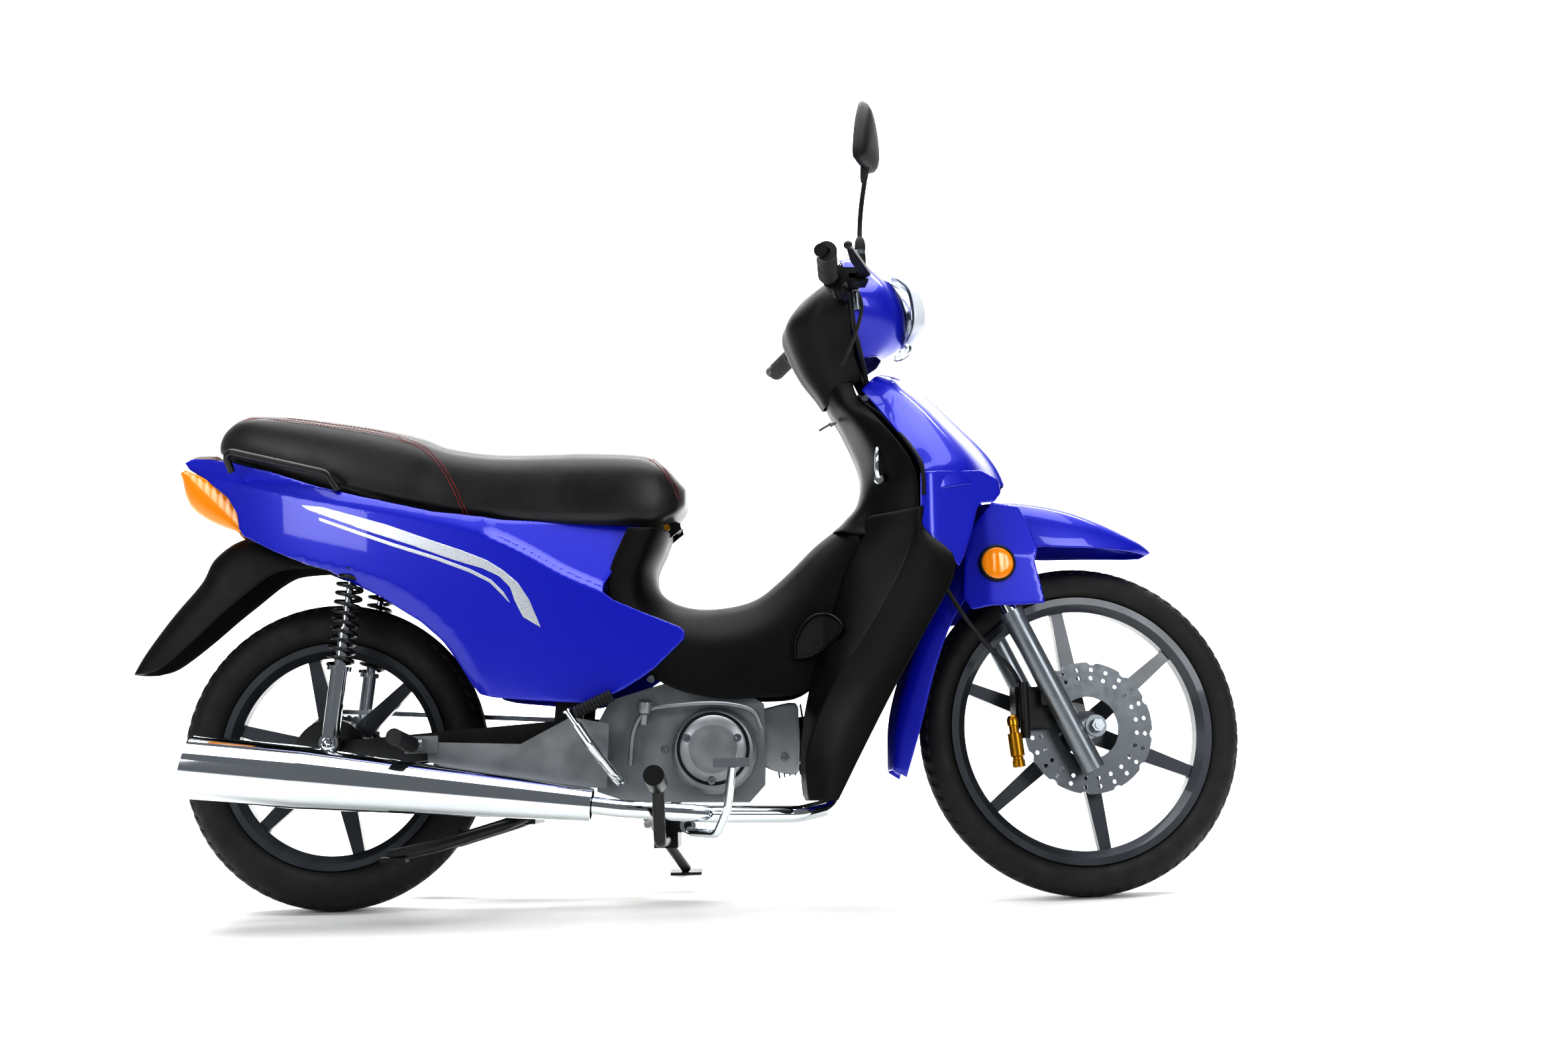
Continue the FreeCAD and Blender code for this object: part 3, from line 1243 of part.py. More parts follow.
def stands():
    """Centre stand folded up under the engine, side stand down on the left."""
    leg = tube_along([STAND_AT + Vector(0, 70, 0), Vector(300, 104, 140), Vector(190, 120, 108),
                      Vector(118, 122, 94)], 10, 30)
    cross = rod(STAND_AT + Vector(0, -72, 0), STAND_AT + Vector(0, 72, 0), size("stand_pin_radius"))
    bar = rod(Vector(250, -112, 126), Vector(250, 112, 126), 7)
    foot = box((104, 108, 84), (146, 136, 92))
    keep_shape("centre_stand", leg.multiFuse([mirrored(leg), cross, bar, foot, mirrored(foot)]))
    sole = Vector(SIDE_FOOT.x, SIDE_FOOT.y, SIDE_FOOT.y * math.tan(math.radians(size("lean_angle"))))
    leg = tube_along([SIDE_STAND_AT, SIDE_STAND_AT + Vector(10, 40, -28), sole + Vector(0, -6, 9)], 9, 40)
    shoe = Part.makeBox(56, 34, 5, Vector(-28, -17, 0))
    shoe.rotate(Vector(0, 0, 0), Vector(1, 0, 0), size("lean_angle"))
    shoe.translate(sole)
    hub = rod(SIDE_STAND_AT - side_stand_axis * 10, SIDE_STAND_AT + side_stand_axis * 10, 13)
    hole = rod(SIDE_STAND_AT - side_stand_axis * 40, SIDE_STAND_AT + side_stand_axis * 40,
               6 + size("turn_fit"))
    keep_shape("side_stand", leg.multiFuse([shoe, hub]).cut(hole))


footrests()
brake_pedal()
gear_pedal()
kick_starter()
stands()


PEG_AT = Vector(158, -146, 272)


def pegs():
    """Cast brackets either side that carry the passenger's folding pegs."""
    outline = [(177, 276), (180, 244), (306, 205), (470, 196), (474, 300), (412, 312), (330, 270)]
    bracket = plate(outline, -132, -122, False)
    bolt_end = -size("arm_spacing + arm_thick / 2") - 17
    spacer = rod(Vector(pivot_at.x, -123, pivot_at.z), Vector(pivot_at.x, bolt_end, pivot_at.z), 12)
    base = box((142, -134, 258), (196, -122, 286))
    pin = rod(PEG_AT + Vector(-16, 0, 0), PEG_AT + Vector(16, 0, 0), size("hinge_pin_radius"))
    ears = []
    for x in (142, 167):
        face = Vector(x, PEG_AT.y, PEG_AT.z)
        ears += [rod(face, face + Vector(7, 0, 0), 9), box((x, PEG_AT.y, 263), (x + 7, -133, 281))]
    right = bracket.multiFuse([spacer, base, pin] + ears)
    keep_shape("peg_brackets", Part.makeCompound([right, mirrored(right)]))
    peg = rod(Vector(158, -160, 272), Vector(146, -236, 284), 13)
    tongue = box((150, -163, 265.5), (166, PEG_AT.y, 278.5))
    knuckle = rod(PEG_AT + Vector(-8, 0, 0), PEG_AT + Vector(8, 0, 0), 7)
    pin_hole = rod(PEG_AT + Vector(-20, 0, 0), PEG_AT + Vector(20, 0, 0),
                   size("hinge_pin_radius + turn_fit"))
    peg = peg.multiFuse([tongue, knuckle]).cut(pin_hole)
    keep_shape("peg_right", peg)
    keep_shape("peg_left", mirrored(peg))


KEY_AT = Vector(858, -40, 811)
KEY_OUT = Vector(-0.863, 0, -0.504)


def key():
    """The ignition key in its lock on the rider's side of the shield."""
    start = at(*KEY_AT) + KEY_OUT * 1.5
    blade = rod(start, start + KEY_OUT * 12, 4)
    head = box((-2, -10, -2), (2, 10, 22))
    head.rotate(Vector(0, 0, 0), Vector(0, 1, 0), -90 - 30.3)
    head.translate(start + KEY_OUT * 11)
    keep_shape("key", blade.fuse(head))


pegs()
key()


# ---------------------------------------------------------------- stance and output

doc.recompute()
steer = Placement(Vector(), Rotation(steer_up, size("steer_angle")), steer_foot)
lean = Placement(Vector(), Rotation(Vector(1, 0, 0), -size("lean_angle")))


def stand_up(extra):
    for item, steered in sub_parts:
        local = rest[item.Name]
        item.Placement = extra.multiply(lean).multiply(steer if steered else Placement()).multiply(local)


rest = {item.Name: item.Placement.copy() for item, steered in sub_parts}


def lowest(label):
    item = [item for item, steered in sub_parts if item.Label == label][0]
    return item.Shape.optimalBoundingBox(True).ZMin


stand_up(Placement())
doc.recompute()
nose_up = math.degrees(math.atan2(lowest("front_tyre") - lowest("rear_tyre"), size("wheelbase")))
level = Placement(Vector(), Rotation(Vector(0, 1, 0), nose_up))
stand_up(level)
doc.recompute()
boxes = [item.Shape.optimalBoundingBox(False) for item, steered in sub_parts]
middle = Vector((min(b.XMin for b in boxes) + max(b.XMax for b in boxes)) / 2,
                (min(b.YMin for b in boxes) + max(b.YMax for b in boxes)) / 2,
                min(b.ZMin for b in boxes))
stand_up(Placement(-middle, Rotation()).multiply(level))
doc.recompute()
print("shift", middle, "pitch", nose_up)

for item in doc.Objects:
    if "Invalid" in item.State or "Error" in item.State:
        raise RuntimeError(f"{item.Name} failed: {item.State}")
os.makedirs("parts", exist_ok=True)
for item, steered in sub_parts:
    if item.Shape.isNull() or not item.Shape.isValid():
        raise RuntimeError(f"{item.Label} has no sound shape")
    item.Shape.exportStep(f"parts/{item.Label}.step")
print(len(sub_parts), "sub-parts")
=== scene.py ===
"""The look of a step-through moped with cast wheels, leaning on its side stand."""

import json
import math

import bpy
from mathutils import Matrix, Vector, geometry


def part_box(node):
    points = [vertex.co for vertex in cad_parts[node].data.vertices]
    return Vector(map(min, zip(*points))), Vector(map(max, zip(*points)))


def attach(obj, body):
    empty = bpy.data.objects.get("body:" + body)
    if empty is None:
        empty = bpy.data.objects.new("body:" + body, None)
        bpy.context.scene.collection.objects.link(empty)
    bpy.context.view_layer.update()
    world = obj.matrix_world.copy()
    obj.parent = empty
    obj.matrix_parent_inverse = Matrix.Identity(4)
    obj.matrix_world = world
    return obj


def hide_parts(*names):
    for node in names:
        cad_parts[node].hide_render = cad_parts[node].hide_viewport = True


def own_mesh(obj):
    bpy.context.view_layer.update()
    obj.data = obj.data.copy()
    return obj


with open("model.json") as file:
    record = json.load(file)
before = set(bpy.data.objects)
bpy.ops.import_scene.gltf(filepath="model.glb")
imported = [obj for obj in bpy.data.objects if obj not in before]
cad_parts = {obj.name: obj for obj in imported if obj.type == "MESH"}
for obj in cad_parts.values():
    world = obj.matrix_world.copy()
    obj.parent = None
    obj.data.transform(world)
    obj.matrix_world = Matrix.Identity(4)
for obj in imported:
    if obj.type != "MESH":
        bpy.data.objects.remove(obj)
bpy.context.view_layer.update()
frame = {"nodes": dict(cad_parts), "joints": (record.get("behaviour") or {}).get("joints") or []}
nodes = frame["nodes"]
joints = {joint["name"]: joint for joint in frame["joints"]}

# ---------------------------------------------------------------- the machine's own axes
# The moped leans eight degrees onto its side stand and its bars are turned a little to the left.
# Pieces are drawn in millimetres on an upright machine: x forward from the rear axle, y to the
# rider's left and z up from the ground. Two matrices stand those drawings on the real one.

MM = 0.001
RAKE = math.radians(26)
REAR_AXLE = (0, 0, 257)
FRONT_AXLE = (1262, 0, 277)
SWING_PIVOT = (400, 0, 290)


def standing(forward, side, up, drawn, real):
    """The matrix from millimetres on the drawing to metres in the row, through one known point."""
    turn = Matrix((forward, side, up)).transposed() * MM
    return Matrix.Translation(Vector(real) - turn @ Vector(drawn)) @ turn.to_4x4()


side = Vector(joints["swing_arm_travel"]["axis"]).normalized()
reach = Vector(joints["swing_arm_travel"]["pos_m"]) - Vector(joints["rear_wheel_spin"]["pos_m"])
climb = math.atan2(SWING_PIVOT[2] - REAR_AXLE[2], SWING_PIVOT[0])
ahead = Matrix.Rotation(climb, 3, side) @ reach.normalized()
machine = standing(ahead, side, ahead.cross(side), REAR_AXLE, joints["rear_wheel_spin"]["pos_m"])

axle_line = Vector(joints["front_wheel_spin"]["axis"]).normalized()
steer_line = Vector(joints["steering_turn"]["axis"]).normalized()
steer_ahead = axle_line.cross(steer_line)
bars = standing(
    steer_ahead * math.cos(RAKE) - steer_line * math.sin(RAKE), axle_line,
    steer_ahead * math.sin(RAKE) + steer_line * math.cos(RAKE),
    FRONT_AXLE, joints["front_wheel_spin"]["pos_m"],
)

# ---------------------------------------------------------------- room, light and camera
# A white paper sweep under a large overhead softbox, with two more softboxes beside the camera
# and a grey studio behind it, which gives the chrome its dark band.


def srgb(code):
    """A web colour as linear light, with full alpha."""
    parts = [int(code[i:i + 2], 16) / 255 for i in (0, 2, 4)]
    return tuple(c / 12.92 if c <= 0.04045 else ((c + 0.055) / 1.055) ** 2.4 for c in parts) + (1.0,)


def new_material(name, colour, roughness, **settings):
    """A material whose one shader has these settings, with its node tree and its shader."""
    material = bpy.data.materials.new(name)
    material.use_nodes = True
    shader = material.node_tree.nodes["Principled BSDF"]
    shader.inputs["Base Color"].default_value = srgb(colour)
    shader.inputs["Roughness"].default_value = roughness
    for socket, value in settings.items():
        shader.inputs[socket.replace("_", " ")].default_value = value
    return material, material.node_tree, shader


def add_node(tree, kind, **given):
    """Adds a node: each name is an input, given a value or a link, or a property of the node."""
    made = tree.nodes.new("ShaderNode" + kind)
    for name, value in given.items():
        found = [s for s in made.inputs if name in (s.identifier, s.name.replace(" ", "_"))]
        if not found:
            setattr(made, name, value)
        elif isinstance(value, bpy.types.NodeSocket):
            tree.links.new(value, found[0])
        else:
            found[0].default_value = value
    return made


FLOOR_HALF, SWEEP_AT, SWEEP_RADIUS, SWEEP_TOP = 9.0, 3.2, 1.6, 7.0
paper, tree, shader = new_material("white background paper", "F7F7F5", 0.9)
place = add_node(tree, "TexCoord").outputs["Object"]
fibres = add_node(tree, "TexNoise", Vector=place, Scale=1 / (8 * MM), Detail=3.0)
add_node(tree, "Bump", Height=fibres.outputs[0],
         Strength=0.05, Distance=0.1 * MM)
tree.links.new(tree.nodes["Bump"].outputs["Normal"], shader.inputs["Normal"])
line = [(-FLOOR_HALF, 0.0), (SWEEP_AT, 0.0)]
line += [(SWEEP_AT + SWEEP_RADIUS * math.sin(a), SWEEP_RADIUS * (1 - math.cos(a)))
         for a in [math.radians(9 * n) for n in range(1, 11)]]
line += [(SWEEP_AT + SWEEP_RADIUS, SWEEP_TOP)]
sweep = bpy.data.meshes.new("paper_sweep")
sweep.from_pydata(
    [(x, y, z) for y, z in line for x in (-FLOOR_HALF, FLOOR_HALF)], [],
    [(2 * n, 2 * n + 1, 2 * n + 3, 2 * n + 2) for n in range(len(line) - 1)])
for face in sweep.polygons:
    face.use_smooth = True
sweep.materials.append(paper)
floor = bpy.data.objects.new("paper_sweep", sweep)
bpy.context.scene.collection.objects.link(floor)

world = bpy.data.worlds.new("studio")
world.use_nodes = True
world.node_tree.nodes["Background"].inputs["Color"].default_value = srgb("C9CDD2")
world.node_tree.nodes["Background"].inputs["Strength"].default_value = 0.3
bpy.context.scene.world = world
bpy.context.scene.view_settings.view_transform = "Standard"
bpy.context.scene.view_settings.look = "High Contrast"

for name, place, aim, width, height, watts in (
    ("overhead_softbox", (0.2, -0.5, 3.4), (0.1, 0.0, 0.6), 4.2, 2.2, 105),
    ("left_softbox", (-2.6, -3.4, 2.0), (-0.1, 0, 0.6), 1.4, 1.4, 34),
    ("right_softbox", (2.7, -3.2, 2.1), (0.3, 0, 0.6), 1.4, 1.4, 38),
    ("paper_light", (0.0, 2.2, 4.6), (0.0, 4.2, 1.4), 7.0, 1.2, 480),
):
    lamp = bpy.data.lights.new(name, "AREA")
    lamp.shape, lamp.size, lamp.size_y, lamp.energy = "RECTANGLE", width, height, watts
    made = bpy.data.objects.new(name, lamp)
    made.location = place
    made.rotation_euler = (Vector(aim) - Vector(place)).to_track_quat("-Z", "Y").to_euler()
    bpy.context.scene.collection.objects.link(made)

# The camera stands at the machine's right, level with the underside of its seat, a touch rolled.
EYE = (766, 642)
EYE_DISTANCE = 3.0
ROLL = math.radians(1.17)
LENS, SENSOR = 41.06, 36.0
contact = machine @ Vector((0, 0, 0))
lens = bpy.data.cameras.new("camera")
lens.lens, lens.sensor_width = LENS, SENSOR
camera = bpy.data.objects.new("camera", lens)
camera.matrix_world = (
    Matrix.Translation((contact.x + EYE[0] * MM, contact.y - EYE_DISTANCE, EYE[1] * MM))
    @ Matrix.Rotation(math.pi / 2, 4, "X") @ Matrix.Rotation(-ROLL, 4, "Z"))
bpy.context.scene.collection.objects.link(camera)
bpy.context.scene.camera = camera

# ---------------------------------------------------------------- frame and black steel
# Welded steel tube and pressed plate, powder coated satin black: a hard skin with the slight
# orange peel of melted powder.


def relief(tree, shader, size_mm, depth_mm, strength=0.5, detail=2.0):
    """Links a fine irregular relief of that size to the shader, and returns its noise."""
    place = add_node(tree, "TexCoord").outputs["Object"]
    noise = add_node(tree, "TexNoise", Vector=place, Scale=1 / (size_mm * MM), Detail=detail)
    bump = add_node(tree, "Bump", Height=noise.outputs[0], Strength=strength, Distance=depth_mm * MM)
    tree.links.new(bump.outputs["Normal"], shader.inputs["Normal"])
    return noise


def mottle(tree, shader, size_mm, low, high, light=0.12):
    """Lets the colour and the roughness drift over patches of that size."""
    place = add_node(tree, "TexCoord").outputs["Object"]
    noise = add_node(tree, "TexNoise", Vector=place, Scale=1 / (size_mm * MM), Detail=4.0)
    rough = add_node(tree, "MapRange", Value=noise.outputs[0], From_Min=0.3, From_Max=0.7,
                     To_Min=low, To_Max=high)
    tree.links.new(rough.outputs[0], shader.inputs["Roughness"])
    base = tuple(shader.inputs["Base Color"].default_value)
    pale = tuple(min(1.0, c * (1 + light) + 0.02 * light) for c in base[:3]) + (1.0,)
    deep = tuple(c * (1 - light) for c in base[:3]) + (1.0,)
    tint = add_node(tree, "Mix", data_type="RGBA", Factor_Float=noise.outputs[0],
                    A_Color=deep, B_Color=pale)
    tree.links.new(tint.outputs[2], shader.inputs["Base Color"])


def dress(material, *names):
    """Gives carried CAD nodes their material."""
    for name in names:
        data = nodes[name].data
        data.materials.clear()
        data.materials.append(material)


powder_coat, tree, shader = new_material("satin black powder coat", "0B0B0C", 0.34)
relief(tree, shader, 2.5, 0.05, 0.35)
mottle(tree, shader, 60, 0.28, 0.4)
dress(powder_coat, "frame", "steering_stem", "swing_arm", "footrest_bar", "centre_stand", "side_stand",
      "handlebar", "brake_panel", "gear_pedal", "grab_rails", "fuel_tank", "brake_lever")

# ---------------------------------------------------------------- side cowls
# Two injection-moulded ABS panels, painted cobalt metallic under clear lacquer: a hard bright
# skin with fine flake, bowed outward, with a shoulder crease and a recess ahead of the seat.


def new_piece(name, points, faces, material, body, drawn=machine):
    """A mesh drawn in millimetres, stood in place and riding on a body."""
    data = bpy.data.meshes.new(name)
    data.from_pydata([drawn @ Vector(p) for p in points], [], faces)
    for face in data.polygons:
        face.use_smooth = True
    data.materials.append(material)
    made = bpy.data.objects.new(name, data)
    bpy.context.scene.collection.objects.link(made)
    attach(made, body)
    return made


def curve_through(points, per):
    """A smooth run of points through the given ones, with that many steps between two."""
    points = [Vector(p) for p in points]
    ends = [2 * points[0] - points[1]] + points + [2 * points[-1] - points[-2]]
    run = []
    for a, b, c, d in zip(ends, ends[1:], ends[2:], ends[3:]):
        for n in range(per):
            t = n / per
            run.append(0.5 * (2 * b + (c - a) * t + (2 * a - 5 * b + 4 * c - d) * t ** 2
                              + (3 * b - a - 3 * c + d) * t ** 3))
    return run + [points[-1]]


def smooth_line(points, per):
    """The same for points in side view, as (x, z) pairs."""
    return [(p.x, p.z) for p in curve_through([(x, 0, z) for x, z in points], per)]


def height_of(line, x):
    """The height of a broken line at x."""
    for (ax, az), (bx, bz) in zip(line, line[1:]):
        if x <= bx:
            return az + (bz - az) * (x - ax) / (bx - ax)
    return line[-1][1]


def eased(value, low, high):
    """Zero below low, one above high and smooth between."""
    t = min(1.0, max(0.0, (value - low) / (high - low)))
    return t * t * (3 - 2 * t)


def within(x, z, ring):
    """True if the point lies inside the ring."""
    hit = False
    for (ax, az), (bx, bz) in zip(ring, ring[1:] + ring[:1]):
        if (az > z) != (bz > z) and x < ax + (z - az) * (bx - ax) / (bz - az):
            hit = not hit
    return hit


def thicken(made, thick, rim=0.6):
    """Gives a sheet its wall, and rounds it a little."""
    wall = made.modifiers.new("wall", "SOLIDIFY")
    wall.thickness, wall.offset, wall.edge_crease_rim = thick * MM, 0, rim
    soft = made.modifiers.new("soft", "SUBSURF")
    soft.levels = soft.render_levels = 1


def panel(name, outline, out, hand, material, body, drawn=machine, thick=3.0, step=8.0):
    """A bowed sheet with that outline in side view; out(x, z) is how far out it lies."""
    ring = []
    for (ax, az), (bx, bz) in zip(outline, outline[1:] + outline[:1]):
        count = max(1, round(math.hypot(bx - ax, bz - az) / step))
        ring += [(ax + (bx - ax) * n / count, az + (bz - az) * n / count) for n in range(count)]
    low_x, high_x = min(x for x, z in ring), max(x for x, z in ring)
    low_z, high_z = min(z for x, z in ring), max(z for x, z in ring)
    field = []
    for k in range(int((high_z - low_z) / (step * 0.866)) + 1):
        for i in range(int((high_x - low_x) / step) + 1):
            x, z = low_x + (i + 0.5 * (k % 2)) * step, low_z + k * step * 0.866
            if within(x, z, ring) and min(math.hypot(x - a, z - b) for a, b in ring) > 0.55 * step:
                field.append((x, z))
    found = geometry.delaunay_2d_cdt([Vector(p) for p in ring + field], [], [list(range(len(ring)))], 1,
                                     1e-5)
    points = [(v.x, hand * out(v.x, v.y), v.y) for v in found[0]]
    faces = [face if hand < 0 else face[::-1] for face in found[2]]
    made = new_piece(name, points, faces, material, body, drawn)
    if thick:
        thicken(made, thick)
    return made


blue, tree, shader = new_material("cobalt metallic paint under lacquer", "0414A8", 0.42, Metallic=0.2,
                                  Coat_Weight=0.55, Coat_Roughness=0.04)
relief(tree, shader, 18, 0.03, 0.08)
mottle(tree, shader, 1.2, 0.3, 0.42, 0.3)

SHOULDER = smooth_line([(-260, 742), (-200, 722), (-130, 703), (-47, 682), (37, 664), (163, 637),
                        (275, 607), (338, 578), (401, 542), (463, 514), (560, 470), (640, 440)], 5)
WAIST = smooth_line([(-260, 64), (-190, 86), (-90, 114), (0, 131), (100, 141), (250, 148),
                     (400, 150), (520, 147), (640, 138)], 5)
ARCH_FOLD = smooth_line([(-160, 612), (-20, 572), (75, 550), (138, 521), (193, 478), (235, 429),
                         (256, 384), (275, 352), (300, 300)], 5)


def cowl_out(x, z):
    """The side cowl: an inward lean over its shoulder, a recess ahead, a lip round the arch."""
    out = height_of(WAIST, x)
    above = z - height_of(SHOULDER, x)
    out -= 0.4 * (math.sqrt(max(above, 0) ** 2 + 25) - 5)
    out -= 18 * (max(-above, 0) / 240) ** 2
    out -= 10 * eased(x, 262, 300) * eased(above, 1, 14)
    if x < 290 and z < height_of(ARCH_FOLD, x):
        out -= 0.5 * min(24, min(math.hypot(x - a, z - b) for a, b in ARCH_FOLD))
    return out


COWL = [(-253, 757), (-238, 764), (-205, 761), (-168, 754), (-90, 731), (-11, 703), (60, 684), (186, 654),
        (300, 640), (524, 632), (502, 584), (480, 548), (468, 527), (467, 514), (484, 501), (532, 480),
        (592, 455), (599, 449), (600, 436), (552, 389), (526, 371), (500, 355), (470, 342), (431, 334),
        (352, 339), (285, 346), (262, 352), (249, 367), (228, 402), (200, 441), (165, 472), (127, 496),
        (96, 516), (54, 537), (12, 560), (-25, 571), (-82, 595), (-139, 624), (-147, 637), (-150, 662),
        (-168, 690), (-211, 724), (-243, 744)]
for hand, name in ((-1, "side_cowl_right"), (1, "side_cowl_left")):
    made = panel(name + "_panel", COWL, cowl_out, hand, blue, "chassis")
    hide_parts(name)

# Two silver vinyl stripes follow the cowl's shoulder and sweep down along the arch: thin cut
# film with a fine metal flake, laid on the lacquer.
silver_film, tree, shader = new_material("silver vinyl film", "C9CDD3", 0.3, Metallic=0.6)
relief(tree, shader, 0.8, 0.02, 0.2)
mottle(tree, shader, 3, 0.26, 0.36, 0.08)
STRIPE_OUT = 1.9
STRIPES = {
    "wide_stripe": [(-37, 671), (-2, 667), (47, 652), (110, 633), (180, 607), (236, 587), (277, 570),
                    (305, 552), (329, 531), (347, 503), (366, 457), (336, 475), (322, 503), (315, 524),
                    (298, 542), (270, 556), (222, 571), (152, 597), (82, 621), (27, 642), (-23, 661)],
    "thin_stripe": [(-5, 649), (62, 624), (125, 601), (194, 578), (250, 556), (284, 538), (305, 517),
                    (316, 498), (311, 502), (302, 512), (281, 533), (248, 550), (192, 572), (123, 595),
                    (60, 618), (-5, 643)],
}
for hand, way in ((-1, "right"), (1, "left")):
    for name, outline in STRIPES.items():
        panel(f"{name}_{way}", outline, lambda x, z: cowl_out(x, z) + STRIPE_OUT, hand, silver_film,
              "chassis", thick=0.3)

# ---------------------------------------------------------------- tail lamp
# An amber acrylic lens moulded with fine vertical ribs, wrapped between the cowls' tails, with
# a lip above it whose pale colour is a painted highlight on the tail's top.


def net_piece(name, rows, material, body, drawn=machine, thick=3.0, closed=False):
    """A moulded sheet through rows of points, or with closed rows a tube."""
    wide = len(rows[0])
    points = [p for row in rows for p in row]
    span = wide if closed else wide - 1
    faces = [(r * wide + c, r * wide + (c + 1) % wide, (r + 1) * wide + (c + 1) % wide, (r + 1) * wide + c)
             for r in range(len(rows) - 1) for c in range(span)]
    if closed:
        faces += [tuple(range(wide))[::-1], tuple(range((len(rows) - 1) * wide, len(rows) * wide))]
    made = new_piece(name, points, faces, material, body, drawn)
    if thick:
        thicken(made, thick)
    return made


def wrap(right):
    """A row from its right half, which ends on the middle line."""
    right = [Vector(p) for p in right]
    return right + [Vector((p.x, -p.y, p.z)) for p in reversed(right[:-1])]


def net(rows, across=3, along=3):
    """A finer, smooth net through rows of points."""
    rows = [curve_through(row, across) for row in rows]
    columns = [curve_through(column, along) for column in zip(*rows)]
    return [list(row) for row in zip(*columns)]


amber, tree, shader = new_material("moulded amber acrylic", "F09200", 0.18, Transmission_Weight=0.15,
                                   Coat_Weight=0.6, Coat_Roughness=0.04)
place = add_node(tree, "TexCoord").outputs["Object"]
ribs = add_node(tree, "TexWave", Vector=place, Scale=1 / (38 * MM), bands_direction="X", Distortion=0.4)
bump = add_node(tree, "Bump", Height=ribs.outputs[0], Strength=0.5, Distance=0.8 * MM)
tree.links.new(bump.outputs["Normal"], shader.inputs["Normal"])
LENS_TOP = smooth_line([(-244, 741), (-211, 726), (-167, 692), (-149, 663), (-145, 637)], 3)
LENS_LOW = smooth_line([(-254, 737), (-246, 700), (-230, 675), (-192, 650), (-147, 631)], 3)
rows = [wrap([(ax, -82, az), ((ax + bx) / 2 - 4, -80, (az + bz) / 2 - 2), (bx, -68, bz),
              (bx - 5, -36, bz - 3),
              (bx - 7, 0, bz - 4)])
        for (ax, az), (bx, bz) in zip(LENS_TOP, LENS_LOW)]
made = net_piece("tail_lens", net(rows, 3, 1), amber, "chassis", thick=2.5)
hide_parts("tail_light")
# The lip's pale, near-white colour is a painted highlight: the light falling on the tail's top.
tail_top_painted_highlight, tree, shader = new_material("acrylic lip with painted highlight", "E9E4DC", 0.25, Transmission_Weight=0.2)
relief(tree, shader, 6, 0.1, 0.2)
rows = [wrap([(x, -half, z), (x - 6, -half * 0.7, z + 3), (x - 9, 0, z + 4)])
        for x, z, half in ((-247, 751, 58), (-244, 761, 60), (-226, 767, 66), (-190, 764, 78))]
net_piece("tail_lip", net(rows, 3, 2), tail_top_painted_highlight, "chassis", thick=2.5)

# ---------------------------------------------------------------- rear mudguard
# Matt black polypropylene, injection moulded with a fine grain, screwed up under the tail.
moulding, tree, shader = new_material("grained black polypropylene", "111214", 0.52, Specular_IOR_Level=0.3)
relief(tree, shader, 1.1, 0.12, 0.5)
mottle(tree, shader, 80, 0.42, 0.56)


def arch(crown, edge, crown_half, edge_half, flare=0.0):
    """One section of a panel bent round a crown line; a flared one is hollow at its shoulders."""
    near, far = 0.65 - 0.53 * flare, 0.9 - 0.38 * flare
    shape = [(1.0, edge_half), (0.7, (1 - far) * crown_half + far * edge_half),
             (0.36, (1 - near) * crown_half + near * edge_half), (0.1, crown_half),
             (0.0, 0.55 * crown_half), (0.0, 0)]
    return wrap([(crown[0] + drop * (edge[0] - crown[0]), -half, crown[1] + drop * (edge[1] - crown[1]))
                 for drop, half in shape])


FENDER_AT = [((60, 604), (60, 574), 40, 52), ((-60, 606), (-60, 572), 42, 56),
             ((-148, 630), (-104, 560), 42, 58),
             ((-206, 598), (-156, 520), 40, 58), ((-228, 556), (-188, 494), 38, 56),
             ((-276, 500), (-236, 451), 34, 50),
             ((-322, 438), (-286, 412), 28, 42), ((-344, 400), (-320, 401), 22, 34)]
made = net_piece("rear_mudguard", net([arch(*at) for at in FENDER_AT], 2, 4), moulding, "chassis")
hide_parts("rear_fender")

# ---------------------------------------------------------------- seat
# Two steps of moulded foam under grained black vinyl, sewn with twin rows of red thread where the
# top, the sides and the nose meet, and stapled round the pan.
vinyl, tree, shader = new_material("grained black seat vinyl", "101011", 0.4, Sheen_Weight=0.15)
place = add_node(tree, "TexCoord").outputs["Object"]
grain = add_node(tree, "TexVoronoi", Vector=place, Scale=1 / (1.7 * MM))
creases = add_node(tree, "TexNoise", Vector=place, Scale=1 / (60 * MM), Detail=3.0)
both = add_node(tree, "MixRGB", Fac=0.35, Color1=grain.outputs["Distance"], Color2=creases.outputs[0])
bump = add_node(tree, "Bump", Height=both.outputs[0], Strength=0.35, Distance=0.5 * MM)
tree.links.new(bump.outputs["Normal"], shader.inputs["Normal"])
mottle(tree, shader, 60, 0.34, 0.46)
SEAT_HALF = 127
# The seat's section, as (share of its height, share of its half width) pairs.
SEAT_SECTION = [(0.0, 0.86), (0.08, 0.96), (0.3, 1.0), (0.55, 0.985), (0.75, 0.94), (0.88, 0.84),
                (0.96, 0.66), (1.0, 0.3)]
SEAT_AT = [(-194, 771, 796, 0.5), (-178, 763, 818, 0.66), (-140, 751, 838, 0.8), (-60, 723, 834, 0.9),
           (40, 689, 820, 0.97), (110, 667, 806, 0.99), (160, 655, 793, 0.99), (205, 645, 775, 1.0),
           (270, 636, 765, 0.99), (340, 629, 763, 0.98), (430, 626, 764, 0.94), (500, 626, 762, 0.88),
           (540, 628, 756, 0.8), (566, 640, 738, 0.7), (585, 652, 716, 0.57), (599, 670, 700, 0.38)]


def seat_place(x, z):
    """How far out the seat's side lies at that place in side view."""
    for low, high in zip(SEAT_AT, SEAT_AT[1:]):
        if x <= high[0]:
            share = max(0.0, (x - low[0]) / (high[0] - low[0]))
            bottom, top, wide = (low[n] + share * (high[n] - low[n]) for n in (1, 2, 3))
            break
    up = (z - bottom) / (top - bottom)
    return SEAT_HALF * wide * height_of(SEAT_SECTION, min(1, max(0, up)))


